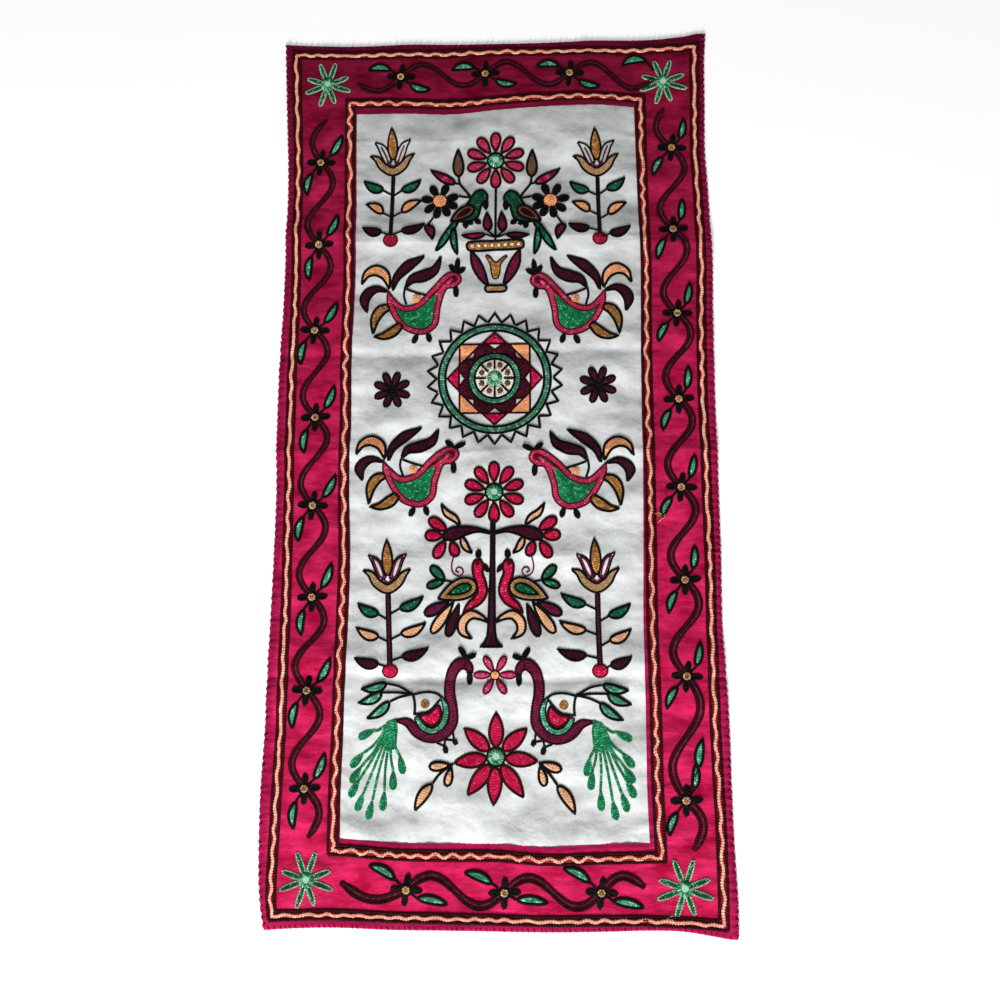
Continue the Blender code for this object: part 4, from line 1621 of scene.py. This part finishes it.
def cotton_material(name, light, dark, pucker_shade_colour, pitch, slub_scale, painted_shade, crumple_scale, crumple_depth, swell_depth):
    """Plain-woven cotton: mottled tone, on the panel partly painted soft shade of wrinkles, slubs along the threads
    and a duller rim of painted pucker shade.

    painted_shade says how bright the cloth is at shares of its length: painted falloff of the light, darker towards
    the top end. Depths are in millimetres.
    """
    material, tree, shader = new_material(name, Roughness=0.85, Specular_IOR_Level=0.06)
    place = map_place(tree, "as_cut")
    # Random tone of the cotton; on the panel its contrast is also painted soft shade of the wrinkles.
    mottle_and_soft_shade = stretched_noise(tree, place, (30, 44, 40), 4, Roughness=0.62)
    tone = ramp(tree, mottle_and_soft_shade, ((0.32, dark), (0.68, light)))
    slub = ramp(tree, stretched_noise(tree, place, slub_scale, 3), ((0.3, (0.95, 0.95, 0.95)), (0.7, (1, 1, 1))))
    streaked = shaded(tree, tone, slub)
    # Painted shade of the puckers: a duller colour along the hem and beside the seam.
    worn = read_share(tree, "worn")
    rim = add_node(tree, "ShaderNodeMix", {"data_type": "RGBA"}, Factor=worn, A=streaked, B=(*pucker_shade_colour, 1))
    # Painted falloff of the light: the cloth grows darker towards its top end.
    share = share_along(tree, length_part(tree, object_place(tree)))
    painted_falloff = ramp(tree, share, [(at, (grey, grey, grey)) for at, grey in painted_shade])
    tree.links.new(shaded(tree, out(rim), painted_falloff), shader.inputs["Base Color"])
    swell = stretched_noise(tree, place, (9, 15, 1), 1.5, (0, 0, 0.3), Roughness=0.5)
    crumple = stretched_noise(tree, place, (*crumple_scale, 1), 3.5, Roughness=0.48, Distortion=0.2)
    swollen = bump(tree, 0.9, swell_depth * MM, swell)
    crumpled = bump(tree, 0.85, crumple_depth * MM, crumple, Normal=swollen)
    creased = bump(tree, 0.9, 0.9 * MM, crease_height(tree, place), Normal=crumpled)
    woven = bump(tree, 0.5, FINE_BUMP, weave_height(tree, place, pitch), Normal=creased)
    tree.links.new(woven, shader.inputs["Normal"])
    return material


def mirror_material():
    """Thin silvered glass with a green cast, slightly wavy and speckled where the silver has aged."""
    material, tree, shader = new_material("mirror_glass", Metallic=0.3, Roughness=0.16, Coat_Weight=0.6)
    place = object_place(tree)
    tone = ramp(tree, noise(tree, place, 700, Detail=4), ((0.35, (0.34, 0.72, 0.50)), (0.65, (0.74, 0.98, 0.82))))
    tree.links.new(tone, shader.inputs["Base Color"])
    tree.links.new(bump(tree, 0.25, 0.0004, noise(tree, place, 180)), shader.inputs["Normal"])
    return material


def places_between(low, high, step, rim_low=False, rim_high=False):
    """Places from low to high about a step apart, set closer at a hemmed edge."""
    inner_low = low + (1.6 if rim_low else 0)
    inner_high = high - (1.6 if rim_high else 0)
    middle = np.linspace(inner_low, inner_high, max(2, round((inner_high - inner_low) / step)) + 1)
    first = [low, low + 0.5] if rim_low else []
    last = [high - 0.5, high] if rim_high else []
    return np.concatenate((first, middle, last))


def lay_sheet(name, node, columns, rows, material):
    """One cut piece of cloth on its folds: a closed sheet that stands for its solid."""
    x, y = (grid.ravel() for grid in np.meshgrid(columns, rows))
    lies_x, lies_y = as_it_lies(x, y)
    on_edge = (OUTER_HALF_WIDTH - np.abs(x) < 0.8).astype(float)
    lies_x = lies_x + np.sign(x) * 0.65 * hem_ripple(x, y) * on_edge
    across, along = len(columns), len(rows)
    top = np.column_stack((lies_x, lies_y, top_height(x, y)))
    bottom = np.column_stack((lies_x, lies_y, underside_height(x, y)))
    count = across * along
    grid = np.arange(count).reshape(along, across)
    quads = np.stack((grid[:-1, :-1], grid[:-1, 1:], grid[1:, 1:], grid[1:, :-1]), axis=-1).reshape(-1, 4)
    rim = np.concatenate((grid[0, :-1], grid[:-1, -1], grid[-1, :0:-1], grid[:0:-1, 0]))
    after = np.roll(rim, -1)
    walls = np.stack((rim, rim + count, after + count, after), axis=-1)
    mesh = bpy.data.meshes.new(name)
    faces = np.vstack((quads, quads[:, ::-1] + count, walls))
    mesh.from_pydata(np.vstack((top, bottom)) * MM, [], faces)
    corners = np.empty(len(mesh.loops), np.int32)
    mesh.loops.foreach_get("vertex_index", corners)
    flat = np.tile(np.column_stack((x, y)) * MM, (2, 1))
    mesh.uv_layers.new(name="as_cut").data.foreach_set("uv", flat[corners].ravel())
    # Where the border gets its painted pucker shade: along the hem and beside the seam.
    hem = 1 - eased((edge_distance(x, y) - 6.5) / 2.5)
    margin = 1 - eased((seam_distance(x, y) - 3) / 1.5)
    worn = np.maximum(hem, margin) * (1 - panel_share(x, y))
    store(mesh, "worn", "FLOAT", np.tile(worn, 2))
    mesh.shade_smooth()
    mesh.set_sharp_from_angle(angle=math.radians(55))
    mesh.materials.append(material)
    piece = new_object(name, mesh)
    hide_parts(node)
    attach(piece, "root")
    return piece


class RunnerCloth(bpy.types.PropertyGroup):
    """Colours and mesh steps of the cotton cloth."""

    # The panel's two colours are mixed by noise: partly the cotton's own tone, partly painted soft shade of its
    # wrinkles.
    panel_light: FloatVectorProperty(
        name="Panel", description="Cream cotton where it is clean", subtype="COLOR", default=linear((245, 248, 249))
    )
    panel_dark: FloatVectorProperty(
        name="Panel shade", description="Cream cotton where it has greyed", subtype="COLOR", default=linear(
            (216, 219, 216)
        )
    )
    border_light: FloatVectorProperty(
        name="Border", description="Crimson cotton where it is bright", subtype="COLOR", default=linear(
            (246, 46, 110)
        )
    )
    border_dark: FloatVectorProperty(
        name="Border shade", description="Crimson cotton where it is deep", subtype="COLOR", default=linear(
            (172, 3, 54)
        )
    )
    # Duller crimson along the hem and beside the seam, painted shade of their puckers.
    border_pucker_shade: FloatVectorProperty(
        name="Worn rim", description="Crimson cotton along the hem and the seam", subtype="COLOR", default=linear(
            (176, 24, 80)
        )
    )
    panel_step: FloatProperty(
        name="Panel mesh step", description="Size of the panel's mesh", unit="LENGTH", default=3.7 * MM, min=1 * MM
    )
    border_step: FloatProperty(
        name="Border mesh step", description="Size of the border's mesh",
        unit="LENGTH", default=2.5 * MM, min=1 * MM,
    )


class RunnerStitches(bpy.types.PropertyGroup):
    """Sizes of the stitches."""

    stitch_length: FloatProperty(
        name="Stitch length", description="Length of one chain stitch", unit="LENGTH", default=2.6 * MM, min=1 * MM
    )
    unevenness: FloatProperty(
        name="Unevenness", description="How much the stitches differ in size",
        subtype="FACTOR", default=0.12, min=0, max=0.5,
    )
    hem_stitch: FloatProperty(
        name="Hem stitch", description="Distance between the stitches that whip the hem",
        unit="LENGTH", default=5.6 * MM,
    )
    seed: IntProperty(name="Seed", description="Which random tones and sizes the stitches get", default=7, min=0)


class RunnerThreads(bpy.types.PropertyGroup):
    """Colour of each thread."""

    __annotations__ = {
        name: FloatVectorProperty(
            name=name.replace("_", " ").capitalize(),
            description="Colour of the " + name.replace("_", " ") + " thread",
            subtype="COLOR",
            default=linear(colour),
        )
        for name, colour, _, _ in THREADS
    }


class RunnerStage(bpy.types.PropertyGroup):
    """Floor, light and camera."""

    floor_size: FloatProperty(name="Floor", description="Width of the floor", unit="LENGTH", default=8)
    floor_colour: FloatVectorProperty(
        name="Floor colour", description="Colour of the plain floor", subtype="COLOR", default=(0.93, 0.93, 0.93)
    )
    floor_glow: FloatProperty(name="Floor glow", description="Light the floor gives of itself", default=0.3)
    key_power: FloatProperty(
        name="Key light", description="Power of the large soft light", unit="POWER", default=218
    )
    fill_light: FloatProperty(name="Fill light", description="Strength of the light all round", default=0.30)


class RunnerPiece:
    """What every operator of this file shares."""

    bl_options = {"REGISTER", "UNDO"}


class LayCloth(RunnerPiece, bpy.types.Operator):
    """Lay the centre panel and the four border strips on their folds"""

    bl_idname = "runner.lay_cloth"
    bl_label = "Lay the cloth"

    def execute(self, context):
        cloth = context.scene.runner_cloth
        panel_step, border_step = cloth.panel_step / MM, cloth.border_step / MM
        # Brightness at shares of the length is painted falloff of the light, darker towards the top.
        cream = cotton_material(
            "cream_cotton", tuple(cloth.panel_light), tuple(cloth.panel_dark), tuple(cloth.panel_dark),
            pitch=0.62 * MM, slub_scale=(900, 22, 1), painted_shade=((0, 0.98), (0.5, 0.97), (0.8, 0.84), (1, 0.76)),
            crumple_scale=(34, 34), crumple_depth=4, swell_depth=22,
        )
        crimson = cotton_material(
            "crimson_cotton", tuple(cloth.border_light), tuple(cloth.border_dark), tuple(cloth.border_pucker_shade),
            pitch=0.55 * MM, slub_scale=(18, 700, 1), painted_shade=((0, 1), (0.5, 0.84), (0.84, 0.51), (1, 0.27)),
            crumple_scale=(38, 90), crumple_depth=2.8, swell_depth=14,
        )
        inner_x, inner_y = PANEL_HALF_WIDTH - HALF_GAP, PANEL_HALF_LENGTH - HALF_GAP
        columns = places_between(-inner_x, inner_x, panel_step)
        rows = places_between(-inner_y, inner_y, panel_step)
        lay_sheet("centre_panel_cloth", "centre_panel", columns, rows, cream)
        long_rows = places_between(-OUTER_HALF_LENGTH, OUTER_HALF_LENGTH, border_step, True, True)
        for side in (-1, 1):
            edges = sorted((side * (PANEL_HALF_WIDTH + HALF_GAP), side * OUTER_HALF_WIDTH))
            strip = places_between(*edges, border_step * 1.3, side < 0, side > 0)
            name = "border_left" if side < 0 else "border_right"
            lay_sheet(name + "_cloth", name, strip, long_rows, crimson)
            edges = sorted((side * (PANEL_HALF_LENGTH + HALF_GAP), side * OUTER_HALF_LENGTH))
            strip = places_between(*edges, border_step * 1.2, side < 0, side > 0)
            name = "border_bottom" if side < 0 else "border_top"
            across = places_between(-inner_x, inner_x, border_step * 1.3)
            lay_sheet(name + "_cloth", name, across, strip, crimson)
        return {"FINISHED"}


class SetMirrors(RunnerPiece, bpy.types.Operator):
    """Give the mirrors their glass and hold each down with a ring of green stitches"""

    bl_idname = "runner.set_mirrors"
    bl_label = "Set the mirrors"

    def execute(self, context):
        glass = mirror_material()
        strands = []
        chance = np.random.default_rng(context.scene.runner_stitches.seed)
        for name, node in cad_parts.items():
            if not name.startswith("mirror_"):
                continue
            for n in range(len(node.material_slots)):
                node.material_slots[n].material = glass
            strands += mirror_ring(name, chance)
        sew_strands("mirror_rings", strands)
        return {"FINISHED"}


def mirror_ring(node, chance):
    """Strands from the face of a mirror, over its edge and down to the cloth, all the way round."""
    across, along = mirror_place(node)
    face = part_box(node)[1].z / MM
    count, green_share = 46, 0.72
    strands = []
    for n in range(count):
        turn = math.tau * (n + chance.uniform(-0.2, 0.2)) / count
        slant = turn + 0.16
        marks = ((3.5, turn, 0.45), (4.9, turn + 0.05, 0.95), (6.6, slant, 0.95), (7.8, slant + 0.02, 0.5))
        x = np.array([across + radius * math.cos(angle) for radius, angle, _ in marks])
        y = np.array([along + radius * math.sin(angle) for radius, angle, _ in marks])
        cloth = top_height(*as_cut(x, y))
        heights = (face + 0.25, face + 0.35, max(cloth[2] + 0.8, face - 0.3), cloth[3] + 0.2)
        widths = [width * chance.uniform(0.9, 1.1) for _, _, width in marks]
        thread = "green" if chance.random() < green_share else "pale_green"
        strands.append((thread, list(zip(x, y, heights, widths))))
    return strands


class SewBands(RunnerPiece, bpy.types.Operator):
    """Sew the wavy bands inside the hem and round the centre panel"""

    bl_idname = "runner.sew_bands"
    bl_label = "Sew the bands"

    def execute(self, context):
        outer, inner = Rows(), Rows()
        sew_band(outer, 0, zone=4.6, black_width=3.1, wave_height=0.8, seed=21)
        sew_band(inner, 1, zone=5.6, black_width=3.1, wave_height=1.4, seed=41)
        sew("outer_band", outer)
        sew("inner_band", inner)
        return {"FINISHED"}


class SewVines(RunnerPiece, bpy.types.Operator):
    """Sew the flowering vine along each border field"""

    bl_idname = "runner.sew_vines"
    bl_label = "Sew the vines"

    def execute(self, context):
        for name in VINE_FLOWERS:
            rows = Rows()
            sew_vine(rows, name)
            if name in LAST_LEAVES:
                stalk, base, tip, width, ends, bend, edge = LAST_LEAVES[name]
                needle = Needle(rows)
                needle.line(stalk, width=2.6)
                needle.leaf(base, tip, width, "sea_green", ends=ends, bend=bend, rings=(("black", edge),))
            sew("vine_" + name, rows)
        return {"FINISHED"}


class SewMotifs(RunnerPiece, bpy.types.Operator):
    """Sew the flowers, birds, wheel, tree and peacocks of the centre panel and the corner stars"""

    bl_idname = "runner.sew_motifs"
    bl_label = "Sew the motifs"

    def execute(self, context):
        for name, gather in (
            ("corner_stars", sew_corner_stars),
            ("flower_pot", sew_flower_pot),
            ("tulip_plants", sew_tulip_plants),
            ("long_tailed_birds", sew_long_tailed_birds),
            ("dark_flowers", sew_dark_flowers),
            ("tree_and_red_birds", sew_tree_group),
            ("peacocks", sew_peacocks),
            ("bottom_flowers", sew_bottom_flowers),
            ("wheel", sew_wheel),
        ):
            rows = Rows()
            gather(rows)
            sew(name, rows)
        return {"FINISHED"}


class WhipHem(RunnerPiece, bpy.types.Operator):
    """Whip the hem with short slanting stitches over the edge"""

    bl_idname = "runner.whip_hem"
    bl_label = "Whip the hem"

    def execute(self, context):
        chance = np.random.default_rng(context.scene.runner_stitches.seed + 1)
        step = context.scene.runner_stitches.hem_stitch / MM
        strands = []
        for sign in (-1, 1):
            for half, upright in ((OUTER_HALF_LENGTH, True), (OUTER_HALF_WIDTH, False)):
                for n in range(1, round(2 * half / step)):
                    run = -half + step * (n + chance.uniform(-0.18, 0.18))
                    if upright:
                        edge, inward = (sign * OUTER_HALF_WIDTH, run), (-sign, 0)
                    else:
                        edge, inward = (run, sign * OUTER_HALF_LENGTH), (0, -sign)
                    strands.append(hem_strand(edge, inward, chance))
        sew_strands("hem_whipping", strands)
        return {"FINISHED"}


def hem_strand(edge, inward, chance):
    """One whipping stitch: from inside the hem, up over its edge and down beside it."""
    slant = chance.uniform(0.9, 1.5)
    marks = []
    for depth, share in ((3.2, 0), (2.2, 0.25), (0.8, 0.6), (0.05, 0.85)):
        lean = slant * share
        marks.append(
            (edge[0] + inward[0] * depth + inward[1] * lean, edge[1] + inward[1] * depth - inward[0] * lean)
        )
    x, y = (np.array(values) for values in zip(*marks))
    top = top_height(x, y)
    lies_x, lies_y = as_it_lies(x, y)
    over_edge = 0.35
    lies_x[3] -= inward[0] * over_edge
    lies_y[3] -= inward[1] * over_edge
    low = underside_height(x, y)[3]
    heights = (top[0] - 0.05, top[1] + 0.28, top[2] + 0.25, low + 0.7)
    widths = [width * chance.uniform(0.85, 1.15) for width in (0.6, 1.05, 1.15, 0.8)]
    thread = "hem_red" if chance.random() < 0.85 else "wine"
    return thread, list(zip(lies_x, lies_y, heights, widths))


class LeaveThreadEnds(RunnerPiece, bpy.types.Operator):
    """Leave the small tangles of thread that stick out of the border"""

    bl_idname = "runner.leave_thread_ends"
    bl_label = "Leave the thread ends"

    def execute(self, context):
        chance = np.random.default_rng(context.scene.runner_stitches.seed + 2)
        strands = []
        for across, along, reach, count, threads in (
            (166, -64, 6, 7, ("tan", "orange", "gold")),
            (165, -445, 4, 4, ("cream", "pale_green")),
        ):
            for n in range(count):
                strands.append((threads[n % len(threads)], thread_end(across, along, reach, chance)))
        sew_strands("thread_ends", strands)
        return {"FINISHED"}


def thread_end(across, along, reach, chance):
    """One short end of thread that curls up off the cloth and comes back down to it."""
    turn = chance.uniform(0, math.tau)
    bow = chance.uniform(-0.9, 0.9)
    count, thickness = 12, 0.5
    t = np.linspace(0, 1, count)
    angle = turn + bow * 2.4 * t
    x = across + chance.uniform(-1.5, 1.5) + reach * t * np.cos(angle)
    y = along + chance.uniform(-1.5, 1.5) + reach * t * np.sin(angle)
    height = top_height(*as_cut(x, y)) + 0.25 + chance.uniform(1, 2.6) * np.sin(math.pi * t)
    return list(zip(x, y, height, np.full(count, thickness)))


class SetStage(RunnerPiece, bpy.types.Operator):
    """Set the floor, the soft light and the camera"""

    bl_idname = "runner.set_stage"
    bl_label = "Set the stage"

    def execute(self, context):
        stage = context.scene.runner_stage
        make_floor(stage)
        make_lights(stage)
        make_camera()
        context.scene.view_settings.view_transform = "Standard"
        return {"FINISHED"}


def make_floor(stage):
    glow = {"Emission_Color": (1, 1, 1, 1), "Emission_Strength": stage.floor_glow}
    material, tree, shader = new_material("plain_floor", Roughness=0.9, **glow)
    colour = tuple(stage.floor_colour)
    grain = noise(tree, object_place(tree), 3, Detail=2)
    tree.links.new(ramp(tree, grain, ((0.3, toned(colour, 0.99)), (0.7, colour))), shader.inputs["Base Color"])
    mesh = bpy.data.meshes.new("floor")
    plane = bmesh.new()
    bmesh.ops.create_grid(plane, x_segments=8, y_segments=8, size=stage.floor_size / 2)
    plane.to_mesh(mesh)
    plane.free()
    mesh.materials.append(material)
    floor = new_object("floor", mesh)
    floor.location.z = -0.0002


def make_lights(stage):
    world = bpy.data.worlds.new("soft_surround")
    world.use_nodes = True
    background = world.node_tree.nodes["Background"]
    background.inputs["Color"].default_value = (1, 1, 1, 1)
    background.inputs["Strength"].default_value = stage.fill_light
    bpy.context.scene.world = world
    light = bpy.data.lights.new("key_light", "AREA")
    light.energy = stage.key_power
    light.size = 1.0
    item = new_object("key_light", light)
    item.location = (-0.5, -3.5, 1.6)
    item.rotation_euler = (-item.location).to_track_quat("-Z", "Y").to_euler()


def make_camera():
    """Camera nearly straight above, at the angle at which the runner was seen."""
    camera = bpy.data.cameras.new("camera")
    camera.sensor_width = 36.0
    camera.lens = 36.0
    item = new_object("camera", camera)
    item.location = (0.0523, -0.2043, 0.9984)
    item.rotation_euler = (0.157531, 0.046539, -0.000268)
    bpy.context.scene.camera = item


class RunnerPanel(bpy.types.Panel):
    """Lists what makes the runner and the sizes and colours it uses"""

    bl_idname = "VIEW3D_PT_table_runner"
    bl_label = "Table runner"
    bl_space_type = "VIEW_3D"
    bl_region_type = "UI"
    bl_category = "Table runner"

    def draw(self, context):
        layout = self.layout
        for operator in OPERATORS:
            layout.operator(operator.bl_idname)
        for group in PROPERTY_GROUPS:
            box = layout.box()
            settings = getattr(context.scene, group)
            for name in type(settings).__annotations__:
                box.prop(settings, name)


OPERATORS = (LayCloth, SetMirrors, SewBands, SewVines, SewMotifs, WhipHem, LeaveThreadEnds, SetStage)
PROPERTY_GROUPS = {
    "runner_cloth": RunnerCloth,
    "runner_stitches": RunnerStitches,
    "runner_threads": RunnerThreads,
    "runner_stage": RunnerStage,
}


def register():
    for item in (*PROPERTY_GROUPS.values(), *OPERATORS, RunnerPanel):
        bpy.utils.register_class(item)
    for name, group in PROPERTY_GROUPS.items():
        setattr(bpy.types.Scene, name, PointerProperty(type=group))


def unregister():
    for name in PROPERTY_GROUPS:
        delattr(bpy.types.Scene, name)
    for item in (RunnerPanel, *reversed(OPERATORS), *PROPERTY_GROUPS.values()):
        bpy.utils.unregister_class(item)


def main():
    register()
    bpy.ops.runner.lay_cloth()
    bpy.ops.runner.set_mirrors()
    bpy.ops.runner.sew_bands()
    bpy.ops.runner.sew_vines()
    bpy.ops.runner.sew_motifs()
    bpy.ops.runner.whip_hem()
    bpy.ops.runner.leave_thread_ends()
    bpy.ops.runner.set_stage()


if __name__ == "__main__":
    main()
